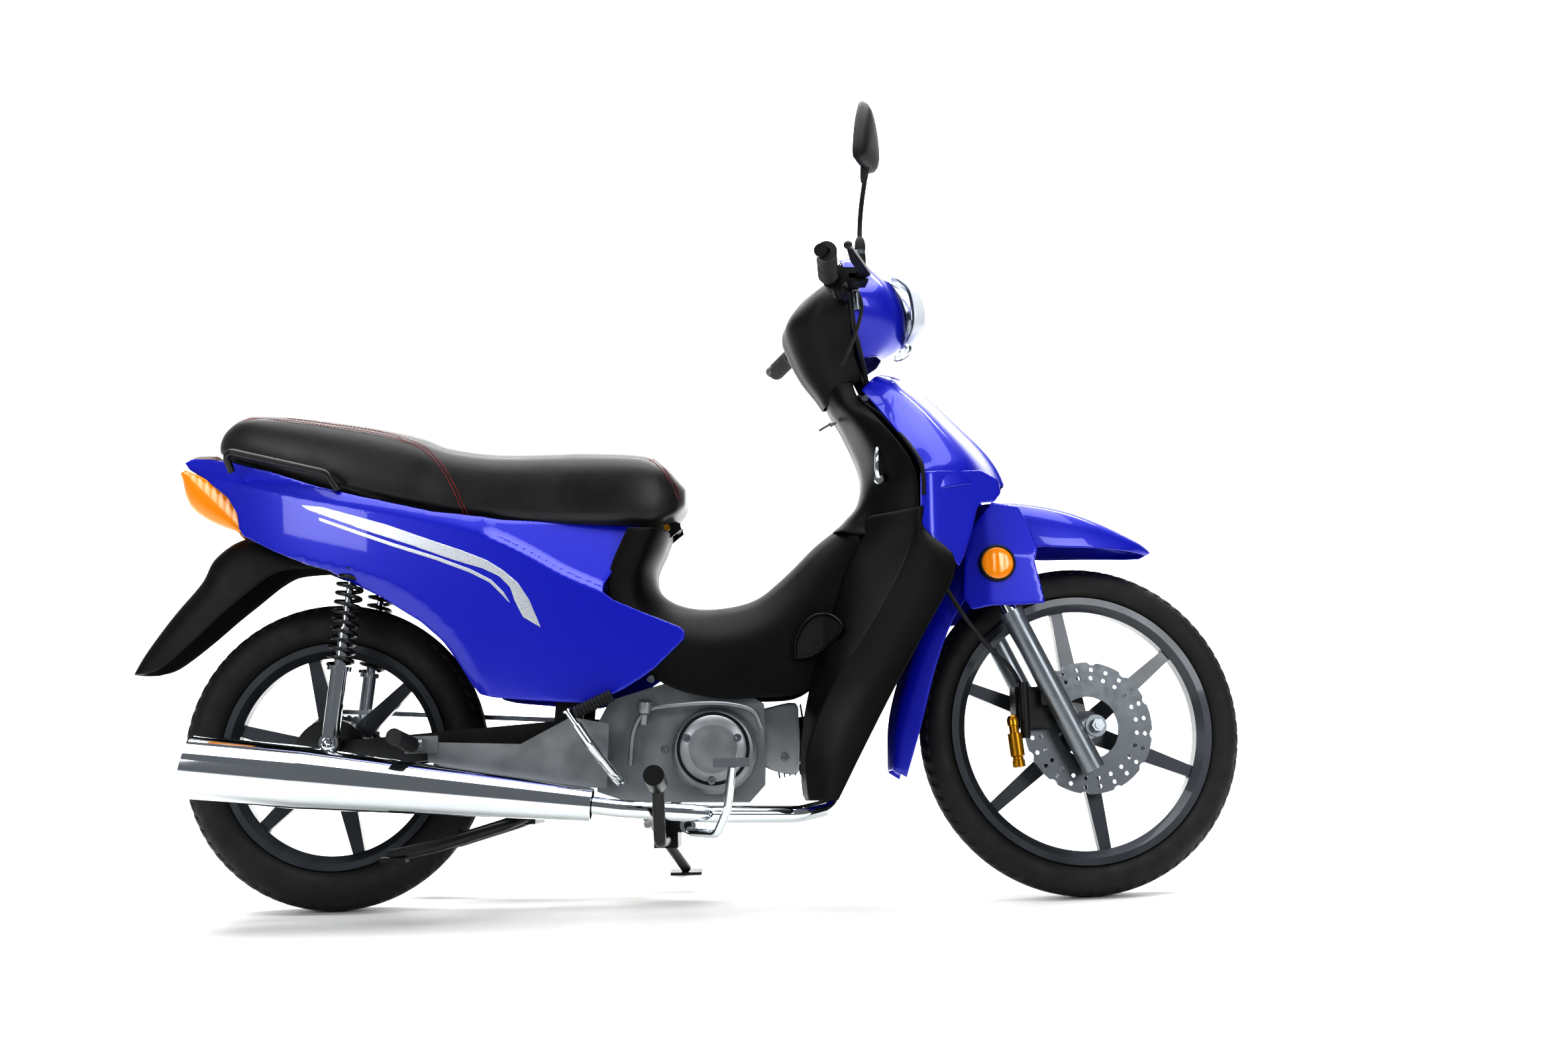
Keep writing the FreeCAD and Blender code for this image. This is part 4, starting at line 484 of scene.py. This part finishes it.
rows = []
for x, low, high, wide in SEAT_AT:
    half, tall = SEAT_HALF * wide, high - low
    row = [Vector((x, -half * out, low + tall * up)) for up, out in SEAT_SECTION]
    rows.append(row + [Vector((p.x, -p.y, p.z)) for p in reversed(row)])
columns = [curve_through(column, 4) for column in zip(*rows)]
rows = [list(row) for row in zip(*columns)]
seat = net_piece("seat_cover", rows, vinyl, "seat", thick=0, closed=True)
soft = seat.modifiers.new("soft", "SUBSURF")
soft.levels = soft.render_levels = 1
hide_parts("seat_cushion")


def rod(name, points, radius, material, body, drawn=machine, per=5, sides=14, taper=None):
    """A round bar along a smooth line, with closed ends."""
    line = curve_through(points, per) if len(points) > 2 else [Vector(p) for p in points]
    rings, normal = [], None
    for n, spot in enumerate(line):
        on = (line[min(n + 1, len(line) - 1)] - line[max(n - 1, 0)]).normalized()
        normal = on.orthogonal() if normal is None else normal
        normal = (normal - on * normal.dot(on)).normalized()
        other = on.cross(normal)
        r = radius if taper is None else radius + (taper - radius) * n / (len(line) - 1)
        rings.append([spot + (normal * math.cos(a) + other * math.sin(a)) * r
                      for a in [2 * math.pi * k / sides for k in range(sides)]])
    made = net_piece(name, rings, material, body, drawn, 0, True)
    made.data.set_sharp_from_angle(angle=math.radians(50))
    return made


def turned(name, centre, axis, profile, material, body, drawn=machine, sides=40):
    """A piece turned about an axis: its profile is (along the axis, radius) pairs."""
    on = Vector(axis).normalized()
    normal = on.orthogonal().normalized()
    other = on.cross(normal)
    rings = [[Vector(centre) + on * a + (normal * math.cos(t) + other * math.sin(t)) * r
              for t in [2 * math.pi * k / sides for k in range(sides)]] for a, r in profile]
    made = net_piece(name, rings, material, body, drawn, 0, True)
    made.data.set_sharp_from_angle(angle=math.radians(32))
    return made


red_thread, tree, shader = new_material("red polyester thread", "8E1018", 0.6, Sheen_Weight=0.2)
relief(tree, shader, 0.8, 0.1, 0.6)
mottle(tree, shader, 4, 0.5, 0.65, 0.15)
ROW_GAP, STITCH, THREAD_HALF, THREAD_OUT = 2.8, 6, 0.6, 0.7
SEAMS = {
    "rear_seam": [(-150, 826), (-123, 829), (-62, 822), (10, 809), (81, 797), (131, 781), (166, 764),
                  (194, 735),
                  (216, 699), (230, 667), (241, 642)],
    "nose_seam": [(541, 748), (563, 727), (580, 701), (590, 676)],
}
for hand, way in ((-1, "right"), (1, "left")):
    for name, line in SEAMS.items():
        for side_step, row in ((-ROW_GAP, "inner"), (ROW_GAP, "outer")):
            spots = smooth_line(line, 12)
            points, faces = [], []
            for n in range(len(spots) - 1):
                (ax, az), (bx, bz) = spots[n], spots[n + 1]
                run = math.hypot(bx - ax, bz - az)
                count = max(1, round(run / STITCH))
                for k in range(count):
                    ends = []
                    for share in ((k + 0.12) / count, (k + 0.88) / count):
                        x = ax + (bx - ax) * share + side_step * (bz - az) / run
                        z = az + (bz - az) * share - side_step * (bx - ax) / run
                        ends.append((x, hand * (seat_place(x, z) + 0.2), z))
                    first = len(points)
                    cross = Vector(((bz - az) / run, 0, -(bx - ax) / run)) * THREAD_HALF
                    for end in ends:
                        end = Vector(end)
                        points += [end + cross, end + Vector((0, hand * THREAD_OUT, 0.3)), end - cross]
                    faces += [(first, first + 1, first + 4, first + 3),
                              (first + 1, first + 2, first + 5, first + 4),
                              (first, first + 2, first + 1), (first + 3, first + 4, first + 5)]
            new_piece(f"{name}_{row}_{way}", points, faces, red_thread, "seat")
dress(moulding, "seat_pan")

# ---------------------------------------------------------------- leg shield, tunnel and wings
# Black injection-moulded polypropylene with a low satin skin, which keeps the road and the engine's
# heat off the rider's legs.
shield_black, tree, shader = new_material("satin black moulded polypropylene", "0C0C0D", 0.46,
                                          Specular_IOR_Level=0.22)
relief(tree, shader, 1.4, 0.05, 0.3)
mottle(tree, shader, 90, 0.36, 0.48)
SHIELD_AT = [((836, 872), (886, 876), 38, 66), ((846, 838), (896, 842), 44, 84),
             ((872, 792), (924, 800), 56, 128),
             ((899, 722), (966, 738), 66, 166, 0.3), ((893, 668), (984, 690), 70, 182, 0.8),
             ((868, 636), (984, 618), 70, 187, 1.0), ((848, 618), (981, 590), 70, 189, 1.0)]
made = net_piece("leg_shield_panel", net([arch(*at) for at in SHIELD_AT], 3, 5), shield_black, "chassis")
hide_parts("leg_shield")
TUNNEL_AT = [((876, 646), (940, 500), 62, 74), ((864, 630), (930, 470), 60, 74),
             ((818, 595), (850, 400), 56, 80),
             ((764, 543), (790, 346), 54, 86), ((711, 504), (720, 338), 54, 92),
             ((640, 491), (630, 342), 54, 98),
             ((585, 499), (556, 368), 58, 106), ((552, 522), (492, 430), 64, 114),
             ((545, 556), (472, 512), 70, 121),
             ((560, 592), (478, 560), 74, 124), ((572, 624), (506, 624), 78, 124)]
made = net_piece("tunnel_panel", net([arch(*at) for at in TUNNEL_AT], 3, 5), shield_black, "chassis")
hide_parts("tunnel_cover")
for hand, way in ((-1, "right"), (1, "left")):
    WING = []
    for z, inner, ridge, front, inner_y, ridge_y, front_y in (
            (640, 905, 984, 992, 84, 187, 190), (600, 893, 975, 994, 80, 188, 192),
                                                              (540, 862, 955, 1040, 70, 194, 224),
            (430, 824, 893, 984, 74, 194, 227), (344, 800, 836, 935, 90, 194, 227),
                                                              (250, 786, 798, 884, 112, 192, 225),
            (170, 790, 800, 842, 144, 190, 218)):
        mid_x, mid_y = (inner + ridge) / 2, (inner_y + ridge_y) / 2
        out_x, out_y = (ridge + front) / 2, (ridge_y + front_y) / 2
        WING.append([(inner, hand * inner_y, z), (mid_x, hand * (mid_y + 7 - 12 * eased(z, 480, 640)), z),
                     (ridge - 3, hand * (ridge_y - 4), z),
                     (ridge + 3, hand * (ridge_y + 3), z), (out_x, hand * (out_y + 6), z),
                     (front, hand * front_y, z)])
    made = net_piece(f"leg_wing_{way}", net(WING, 3, 4), shield_black, "chassis")
    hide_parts("leg_wings")

# An oval cooling vent opens each side of the tunnel, with a rolled lip; the near-black sheet behind it is
# painted shade in the vent's well.
vent_painted_shade, tree, shader = new_material("painted shade in the vent well", "030303", 0.7)
relief(tree, shader, 4, 0.3, 0.5)
VENT = smooth_line([(780, 403), (781, 430), (795, 458), (816, 474), (838, 472), (854, 458), (855, 443),
                    (836, 424),
                    (806, 406), (780, 403)], 4)[:-1]


def vent_out(x, z):
    """The tunnel's side: upright, then flared out ahead."""
    return 93 + 1.45 * max(0, x - 826)


for hand, way in ((-1, "right"), (1, "left")):
    # The well's near-black sheet is painted shade inside the vent.
    panel(f"vent_well_{way}", VENT, vent_out, hand, vent_painted_shade, "chassis", thick=1)
    rod(f"vent_lip_{way}", [(x, hand * (vent_out(x, z) + 1), z) for x, z in VENT[::2] + VENT[:1]], 2.6,
        shield_black,
        "chassis")

# ---------------------------------------------------------------- front cowl
# Painted ABS with its cheeks, a clear lens strip either side and a black moulded trim along the
# edge that meets the leg shield.
COWL_AT = [((936, 896), (900, 856), 30, 84), ((974, 884), (930, 808), 44, 128),
           ((1022, 846), (952, 774), 50, 152),
           ((1064, 803), (972, 742), 52, 168), ((1108, 758), (988, 708), 51, 180),
           ((1132, 724), (992, 692), 50, 186),
           ((1144, 694), (994, 662), 50, 188)]
made = net_piece("front_cowl_panel", net([arch(*at) for at in COWL_AT], 4, 4), blue, "chassis")
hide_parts("front_cowl")
CHEEK = [(988, 696), (1040, 700), (1092, 704), (1122, 690), (1126, 668), (1114, 652), (1086, 648),
         (1074, 607),
         (1058, 560), (1048, 541), (1036, 552), (1006, 584), (986, 608)]
for hand, way in ((-1, "right"), (1, "left")):
    panel(f"cowl_cheek_{way}", CHEEK, lambda x, z: 189 - 0.5 * max(0, x - 1004) + 0.1 * max(0, 640 - z),
          hand, blue,
          "chassis")
    trim = [(896, 846), (912, 824), (934, 802), (965, 758), (988, 717), (993, 690), (993, 658)]
    rod(f"cowl_trim_{way}", [(x, hand * (86 + 104 * min(1, max(0, (x - 896) / 97))), z) for x, z in trim],
        3.5,
        moulding, "chassis")

clear, tree, shader = new_material("clear polycarbonate", "E6EBF0", 0.06, Coat_Weight=1.0,
                                   Coat_Roughness=0.02,
                                   Transmission_Weight=0.35)
relief(tree, shader, 20, 0.15, 0.2)
reflector_silver, tree, shader = new_material("vacuum-metallised reflector", "AEB4BA", 0.14, Metallic=1.0)
relief(tree, shader, 9, 0.5, 0.5)


def cowl_point(share_along, share_down, hand):
    """A place on the front cowl, by its share along the crown and its share down the side."""
    spot = share_along * (len(COWL_AT) - 1)
    n = min(int(spot), len(COWL_AT) - 2)
    blend = spot - n
    crown, edge, ch, eh = [
        [a + (b - a) * blend for a, b in zip(one,
                                             two)] if isinstance(one, tuple) else one + (two - one) * blend
        for one, two in zip(COWL_AT[n], COWL_AT[n + 1])]
    half = ch + (eh - ch) * eased(share_down, 0.05, 0.9)
    return Vector((crown[0] + share_down * (edge[0] - crown[0]), hand * half,
                   crown[1] + share_down * (edge[1] - crown[1])))


for hand, way in ((-1, "right"), (1, "left")):
    for name, low, high, raised, material, slot in (("lens", 0.26, 0.47, 3.6, clear, "clear_lens"),
                                                    ("reflector", 0.29, 0.44, 2.4, reflector_silver,
                                                     "chrome")):
        rows = []
        for n in range(13):
            along = 0.1 + 0.7 * n / 12
            wide = math.sin(math.pi * (0.08 + 0.86 * n / 12)) ** 0.5
            middle = (low + high) / 2
            rows.append([cowl_point(along, middle + (share - 0.5) * (high - low) * wide, hand)
                         + Vector((0.6, hand * 0.35, 0.75)) * raised for share in (0, 0.25, 0.5, 0.75, 1)])
        net_piece(f"cowl_{name}_{way}", rows, material, "chassis", thick=1.2)

# ---------------------------------------------------------------- front mudguard
# Painted ABS over the wheel and down behind it, bolted to the lower yoke, so it steers but
# doesn't rise with the wheel. Its cheeks hide the fork tubes.
OVER_AT = [((1404, 582), (1392, 577), 10, 18), ((1390, 592), (1372, 578), 20, 32),
           ((1368, 603), (1345, 580), 30, 44),
           ((1302, 634), (1290, 582), 38, 56), ((1236, 656), (1235, 582), 42, 62),
           ((1160, 667), (1188, 582), 44, 62),
           ((1104, 664), (1140, 570), 42, 58)]
BEHIND_AT = [((1104, 664), (1140, 570), 42, 58), ((1052, 600), (1094, 530), 42, 58),
             ((1010, 506), (1044, 470), 40, 56),
             ((968, 402), (1010, 390), 38, 50), ((938, 302), (978, 280), 36, 46),
             ((932, 213), (954, 200), 26, 32)]
made = net_piece("mudguard_over", net([arch(*at) for at in OVER_AT], 3, 5), blue, "steering", bars)
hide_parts("front_fender")
net_piece("mudguard_behind", net([arch(*at) for at in BEHIND_AT], 3, 5), blue, "steering", bars)
FORK_CHEEK = [(1092, 640), (1104, 655), (1150, 646), (1166, 610), (1176, 572), (1170, 551), (1178, 514),
              (1184, 480),
              (1139, 477), (1094, 476), (1060, 470), (1046, 492), (1050, 545), (1058, 600)]
AMBER_AT = (1105, 547)
for hand, way in ((-1, "right"), (1, "left")):
    panel(f"fork_cheek_{way}", FORK_CHEEK, lambda x,
          z: 107 - 0.14 * max(0, z - 560) - 0.2 * max(0, 1090 - x), hand,
          blue, "steering", bars)
    spot = (AMBER_AT[0], hand * 106, AMBER_AT[1])
    turned(f"fork_reflector_rim_{way}", spot, (0, hand, 0),
           [(0, 31), (6, 31), (8, 29.5), (8, 27), (5, 26), (4, 26)],
           moulding, "steering", bars)
    turned(f"fork_reflector_{way}", spot, (0, hand, 0),
           [(3, 27), (6.5, 27), (8.2, 24), (9, 16), (9.4, 6), (9.5, 1)],
           amber, "steering", bars)

# ---------------------------------------------------------------- handlebar covers
# The rear half is grained black, the front half painted; both are clipped together round the bar.
REAR_AT = [((836, 1042), (862, 1050), 30, 76), ((812, 1030), (862, 1040), 48, 104),
           ((790, 1008), (864, 1012), 62, 122),
           ((772, 976), (868, 978), 62, 118), ((780, 940), (874, 945), 54, 98),
           ((802, 892), (884, 905), 42, 80),
           ((826, 858), (893, 884), 34, 66), ((838, 838), (896, 876), 30, 58)]
made = net_piece("bar_cover_rear", net([arch(*at) for at in REAR_AT], 3, 4), moulding, "steering", bars)
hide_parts("handlebar_rear_cover")
FRONT_AT = [((872, 1099), (862, 1090), 26, 54), ((903, 1098), (866, 1080), 36, 70),
            ((940, 1074), (866, 1046), 48, 96),
            ((972, 1034), (867, 1012), 56, 122), ((984, 985), (872, 978), 58, 118),
            ((972, 944), (878, 945), 50, 98),
            ((936, 920), (888, 905), 36, 80)]
made = net_piece("bar_cover_front", net([arch(*at) for at in FRONT_AT], 3, 4), blue, "steering", bars)
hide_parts("handlebar_front_cover")
LAMP_AT = [((970, 1068), (948, 1070), 16, 52), ((996, 1050), (964, 1052), 28, 72),
           ((1014, 1026), (980, 1030), 34, 82),
           ((1022, 996), (986, 990), 38, 84), ((1016, 964), (984, 962), 34, 76),
           ((994, 940), (976, 942), 22, 54)]
made = net_piece("headlamp_lens", net([arch(*at) for at in LAMP_AT], 3, 4), clear, "steering", bars,
                 thick=3)
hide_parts("headlight")
inset = [((a - 8, b), (c - 4, d), e * 0.9, f * 0.94) for (a, b), (c, d), e, f in LAMP_AT]
net_piece("headlamp_reflector", net([arch(*at) for at in inset], 3, 4), reflector_silver, "steering", bars,
          thick=1)
dial_face, tree, shader = new_material("instrument glass over a black dial", "0C0D10", 0.08,
                                       Coat_Weight=1.0,
                                       Coat_Roughness=0.02)
relief(tree, shader, 30, 0.1, 0.1)
net_piece("instrument_glass", net([arch(*at) for at in [
    ((838, 1046), (846, 1046), 44, 58), ((852, 1070), (856, 1068), 44, 60),
                                                        ((868, 1094), (868, 1090), 34, 50)]], 3, 4),
    dial_face, "steering", bars, thick=2)

# ---------------------------------------------------------------- grips, pods and levers
# Ringed rubber grips over the bar's ends, with grained black switch pods and yellow nylon
# buttons beside them.
rubber, tree, shader = new_material("moulded black rubber", "161719", 0.6)
relief(tree, shader, 1.0, 0.1, 0.4)
mottle(tree, shader, 25, 0.52, 0.68)
dress(moulding, "left_switch_pod", "master_cylinder")
GRIP_SHARE, RING_STEP = 0.82, 7
for body, node, way in (("throttle", "throttle_grip", "right"), ("steering", "left_grip", "left")):
    low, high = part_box(node)
    hand = -1 if way == "right" else 1
    back = bars.inverted()
    corners = [back @ Vector((x, y, z)) for x in (low[0],
                                                  high[0]) for y in (low[1],
                                                                     high[1]) for z in (low[2], high[2])]
    middle = sum(corners, Vector()) / 8
    half = max(abs(c.y - middle.y) for c in corners) * GRIP_SHARE
    profile = [(-half, 16.7), (-half + 4, 16.9), (-half + 6, 16.6)]
    at_side = -half + 8
    while at_side < half - 8:
        profile += [(at_side, 15.4), (at_side + 1.2, 16.6), (at_side + 3.4, 16.6), (at_side + 4.6, 15.4)]
        at_side += RING_STEP
    profile += [(half - 5, 16.9), (half - 1, 16.9), (half, 16), (half + 0.1, 6), (half - 3, 5)]
    axis = Vector((-0.17, hand, 0.0))
    made = turned(f"{node}_rubber", middle, axis, profile, rubber, body, bars)
    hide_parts(node)
yellow, tree, shader = new_material("yellow moulded nylon", "E3C90F", 0.38)
relief(tree, shader, 1, 0.05, 0.3)
mottle(tree, shader, 10, 0.32, 0.44)
dress(yellow, "starter_button", "horn_button")

zinc, tree, shader = new_material("bright zinc plated steel", "9EA3A8", 0.26, Metallic=1.0)
relief(tree, shader, 1.2, 0.03, 0.3)
mottle(tree, shader, 12, 0.2, 0.34)
# The mirror: a black moulded kite-shaped shell on a steel stem, with silvered glass facing back.
mirror_glass, tree, shader = new_material("silvered mirror glass", "D5DADD", 0.02, Metallic=1.0)
relief(tree, shader, 60, 0.05, 0.05)
STEM_AT = (880, -210, 1014)
KITE = curve_through([(-50, 0, 170), (-20, 0, 167), (20, 0, 169), (44, 0, 178), (50, 0, 198), (44, 0, 232),
                      (24, 0, 270),
                      (4, 0, 285), (-12, 0, 279.5), (-36, 0, 236), (-50, 0, 188), (-50, 0, 170)], 3)[:-1]
lean_in = Matrix.Rotation(math.radians(-28), 3, "Z")


def mirror_ring(depth, share):
    """The kite's outline at that depth behind the glass, drawn in towards its middle."""
    middle = Vector((0, 0, 226))
    ring = []
    for p in KITE:
        q = middle + (p - middle) * share
        spot = lean_in @ Vector((-4 + depth, q.x, 0))
        ring.append(Vector((STEM_AT[0] + spot.x, STEM_AT[1] - 34 + spot.y, STEM_AT[2] + q.z)))
    return ring


made = net_piece("mirror_shell", [mirror_ring(*at) for at in ((0.5, 0.9), (-0.5, 0.97), (1, 1.0),
                                                              (8, 0.985), (14, 0.9),
                 (19, 0.72), (21.5, 0.45), (22, 0.1))], moulding, "mirror", bars, 0, True)
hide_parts("mirror_right")
rod("mirror_stem", [(873.5, -210, 1023), (873.5, -210, 1080), (875, -222, 1120), (880, -240, 1165),
                    (886, -244, 1200)], 4.1,
    powder_coat, "mirror", bars)
turned("mirror_nut", (873.5, -210, 1045), (0, 0, 1), [(0, 8.4), (9, 8.4), (10, 7)], zinc, "mirror", bars,
       sides=6)
turned("mirror_boot", (873.5, -210, 1054), (0, 0, 1), [(0, 9), (4, 9.4), (14, 8.4), (20, 6), (22, 4.2)],
       rubber, "mirror",
       bars, sides=28)
turned("mirror_neck", (878, -238, 1160), (0.1, -0.1, 1), [(0, 4.6), (8, 6.4), (26, 8)], rubber, "mirror",
       bars,
       sides=24)
net_piece("mirror_glass", [mirror_ring(*at) for at in ((-0.6, 0.88), (-1.0, 0.86), (-1.1, 0.1))],
          mirror_glass,
          "mirror", bars, 0, True)

# ---------------------------------------------------------------- engine
# Pressure die-cast aluminium: painted silver-grey on the crankcase and its round clutch cover,
# black on the finned barrel. The cast skin is slightly pebbled.
cast_silver, tree, shader = new_material("silver-painted die-cast aluminium", "8A8D90", 0.38, Metallic=0.7)
relief(tree, shader, 1.6, 0.08, 0.35)
mottle(tree, shader, 40, 0.32, 0.46)
dress(cast_silver, "crankcase", "clutch_cover", "peg_brackets")
cast_black, tree, shader = new_material("black-painted cast aluminium", "141517", 0.5, Metallic=0.2)
relief(tree, shader, 1.6, 0.08, 0.4)
mottle(tree, shader, 40, 0.42, 0.58)
dress(cast_black, "cylinder", "brake_caliper")
SCREWS = [(599, 275, 112), (682, 274, 112), (639, 205, 112), (563, 257, 108), (759, 241, 66),
          (542, 372, 118),
          (363, 222, 60), (431, 210, 78)]
for n, (x, z, out) in enumerate(SCREWS):
    turned(f"case_screw_{n + 1}", (x, -out, z), (0, -1, 0),
           [(-6, 6.5), (3, 6.5), (4.5, 5.6), (4.6, 3.2), (1.6, 3), (1.5, 0.4)], zinc, "chassis",
           sides=24)
# A black ring just wider than the clutch lid: painted shade in the gap between the lid and the case.
turned("clutch_gap_ring", (642, -103, 257), (0, -1, 0), [(0, 60), (3, 60), (3.2, 58), (3.2, 1)], moulding,
       "chassis")
made = turned("clutch_lid", (642, -106, 257), (0, -1, 0),
              [(0, 54.5), (3, 54.5), (5, 52), (7, 44), (8, 41), (7.4, 39),
              (8.6, 30), (9.4, 1)], cast_silver, "chassis", sides=64)
HEAD_LID = [(708, 318), (740, 326), (779, 331), (784, 300), (784, 240), (779, 213), (748, 216), (722, 228),
            (714, 250), (720, 276), (712, 298)]
for hand, way in ((-1, "right"), (1, "left")):
    panel(f"head_lid_{way}", smooth_line(HEAD_LID + HEAD_LID[:1], 3)[:-1], lambda x,
          z: 64 - 0.0016 * (z - 270) ** 2,
          hand, cast_silver, "chassis", thick=2.5)
CASE_RIB = [(505, 232), (512, 290), (536, 322), (600, 330), (660, 330), (706, 318), (722, 288)]
rod("case_rim_right", [(x, -98, z) for x, z in CASE_RIB], 4, cast_silver, "chassis")
turned("filler_cap", (527, -92, 300), (0.1, -0.25, 1),
       [(0, 8), (16, 8), (20, 12), (34, 13), (38, 11), (38, 4)],
       cast_silver, "chassis")

# ---------------------------------------------------------------- exhaust and bright plating
# Steel pressings polished and chromium plated: a mirror skin with the faint ripple of the
# pressed sheet below it.
chrome, tree, shader = new_material("chromium plate", "D6DADD", 0.05, Metallic=1.0)
relief(tree, shader, 45, 0.2, 0.1, 1.0)
mottle(tree, shader, 90, 0.035, 0.08, 0.03)
dress(chrome, "exhaust", "kick_arm", "brake_pedal", "shock_rods", "fork_tubes", "shock_bodies")
dress(zinc, "front_axle", "rear_axle", "rear_sprocket", "drive_chain", "key")
disc_steel, tree, shader = new_material("ground stainless disc steel", "63676B", 0.36, Metallic=1.0)
relief(tree, shader, 0.7, 0.04, 0.4)
mottle(tree, shader, 14, 0.3, 0.46, 0.2)
dress(disc_steel, "brake_disc")
dress(rubber, "brake_hose", "peg_right", "peg_left")
upright = machine.inverted()
low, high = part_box("kick_pedal")
middle = upright @ ((Vector(low) + Vector(high)) / 2)
profile, at_side = [(-33, 8)], -31
while at_side < 30:
    profile += [(at_side, 8.6), (at_side + 1, 10.6), (at_side + 3.4, 10.6), (at_side + 4.4, 8.6)]
    at_side += 6
made = turned("kick_rubber", middle, (64, 0, 29), profile + [(33, 9), (34, 5)], rubber, "kick_step")
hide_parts("kick_pedal")
SHOCK_LOW, SHOCK_HIGH = Vector((15, 0, 278)), Vector((53, 0, 611))
spring_black, tree, shader = new_material("black-coated spring wire", "0D0D0F", 0.3)
relief(tree, shader, 3, 0.04, 0.3)
mottle(tree, shader, 20, 0.24, 0.36)
stroke_up = (SHOCK_HIGH - SHOCK_LOW).normalized()
SHOCK_OUT, NUT_OUT, SPRING_FOOT, SPRING_TALL = 112, 124, 128, 178
COIL_RADIUS, WIRE_RADIUS, COIL_TURNS, TURN_STEPS = 20, 3.6, 12, 16
for hand, way in ((-1, "right"), (1, "left")):
    foot = SHOCK_LOW + Vector((0, hand * SHOCK_OUT, 0)) + stroke_up * SPRING_FOOT
    across = stroke_up.cross(Vector((0, 1, 0))).normalized()
    points = []
    for n in range(COIL_TURNS * TURN_STEPS + 1):
        angle = 2 * math.pi * n / TURN_STEPS
        points.append(foot + (across * math.cos(angle) + Vector((0, 1, 0)) * math.sin(angle)) * COIL_RADIUS
                      + stroke_up * (SPRING_TALL * n / (COIL_TURNS * TURN_STEPS)))
    coil = rod(f"spring_{way}", points, WIRE_RADIUS, spring_black, "shock_lower", per=1,
               sides=8)
    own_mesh(coil)
    if way == "right":
        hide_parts("shock_springs")
    for end, tip in (("upper", SHOCK_HIGH), ("lower", SHOCK_LOW)):
        turned(f"{end}_shock_nut_{way}", tip + Vector((0, hand * NUT_OUT, 0)), (0, hand, 0),
               [(0, 11), (2, 11), (2.2, 8.5), (8, 8.5), (11, 7), (12.5, 3.5), (13, 0.6)], chrome,
               "chassis" if end == "upper" else "swing_arm_assembly", sides=24)

# ---------------------------------------------------------------- wheels and tyres
# Cast alloy wheels in graphite enamel, silver-grey fork sliders, and black tyres with blocks of
# tread on their shoulders.
graphite, tree, shader = new_material("graphite wheel enamel", "3C3F44", 0.34, Metallic=0.6,
                                      Coat_Weight=0.4)
relief(tree, shader, 1.2, 0.04, 0.3)
mottle(tree, shader, 50, 0.28, 0.4)
dress(graphite, "front_wheel", "rear_wheel")
tyre_rubber, tree, shader = new_material("vulcanised tyre rubber", "101011", 0.66)
relief(tree, shader, 0.9, 0.08, 0.4)
mottle(tree, shader, 30, 0.56, 0.74)
dress(tyre_rubber, "front_tyre", "rear_tyre")
fork_enamel, tree, shader = new_material("silver-grey fork enamel", "7F8489", 0.3, Metallic=0.8)
relief(tree, shader, 1.4, 0.05, 0.3)
mottle(tree, shader, 40, 0.28, 0.4)
dress(fork_enamel, "fork_sliders")
brass, tree, shader = new_material("gold-anodised aluminium", "B98A2C", 0.28, Metallic=1.0)
relief(tree, shader, 2, 0.05, 0.3)
turned("fork_valve", (1122, -95, 287), (0.1, 0, -1), [(-8, 7), (-2, 10), (8, 10), (9, 8), (20, 8), (21, 12),
       (58, 12), (60, 9), (64, 9), (65, 10.5), (76, 10.5), (77, 6)], brass, "fork_lower", bars)

# Shallow blocks of tread stand on both shoulders of each tyre.
BLOCK_WIDE, BLOCK_TALL = 0.3, 1.6
for end, body, drawn, centre, radius, half, count in (
        ("rear", "rear_wheel_assembly", machine, REAR_AXLE, 257, 40, 64),
        ("front", "front_wheel_assembly", bars, FRONT_AXLE, 277, 31, 76)):
    reach, drop = 0.62 * half, 0.24 * half
    bend = (reach ** 2 + drop ** 2) / (2 * drop)
    points, faces = [], []
    for n in range(count):
        for hand in (-1, 1):
            first = len(points)
            for k in range(5):
                y = 6 + (reach - 3) * k / 4
                r = radius - bend + math.sqrt(max(0, bend ** 2 - y ** 2)) + (-0.8 if k == 0 else -0.1)
                turn = 2 * math.pi * (n + (0.5 if hand > 0 else 0)) / count + 0.01 * k
                wide = BLOCK_WIDE * 2 * math.pi / count
                for a in (turn - wide, turn + wide):
                    points.append((centre[0] + r * math.cos(a), hand * y, centre[2] + r * math.sin(a)))
            faces += [(first + 2 * k, first + 2 * k + 1, first + 2 * k + 3,
                       first + 2 * k + 2) for k in range(4)]
    tread = new_piece(f"{end}_tread", points, faces, tyre_rubber, body, drawn)
    wall = tread.modifiers.new("blocks", "SOLIDIFY")
    wall.thickness, wall.offset = BLOCK_TALL * MM, 0

# ---------------------------------------------------------------- hook and small fittings
# A chromed bag hook and its boss, two bright trim screws, and the throttle cable with its
# zinc plated elbow.
for n, (x, y, z) in enumerate(((906, -100, 838), (567, -70, 629))):
    turned(f"trim_screw_{n + 1}", (x, y, z), (0, -1, 0),
           [(-4, 6), (2, 6), (3.4, 5), (3.5, 2.6), (1.4, 2.4), (1.3, 0.4)],
           brass if n else zinc, "chassis", sides=24)
rod("bag_hook", [(926, -112, 752), (924, -126, 748), (922, -132, 732), (922, -130, 712), (924, -126, 700)],
    3.6, chrome,
    "chassis", taper=4.6)
turned("hook_boss", (925, -114, 696), (0, -1, 0), [(0, 9), (10, 9), (12, 7), (12.2, 3), (10, 2.6)], chrome,
       "chassis",
       sides=28)
rod("throttle_cable", [(872, -176, 996), (880, -170, 968), (872, -150, 930), (852, -122, 880)], 3.2, rubber,
    "steering",
    bars)
turned("cable_elbow", (869, -178, 1000), (0.05, 0, -1),
       [(0, 6), (6, 6), (7, 4.6), (34, 4.4), (35, 5.6), (40, 5.6)], zinc,
       "steering", bars, sides=20)
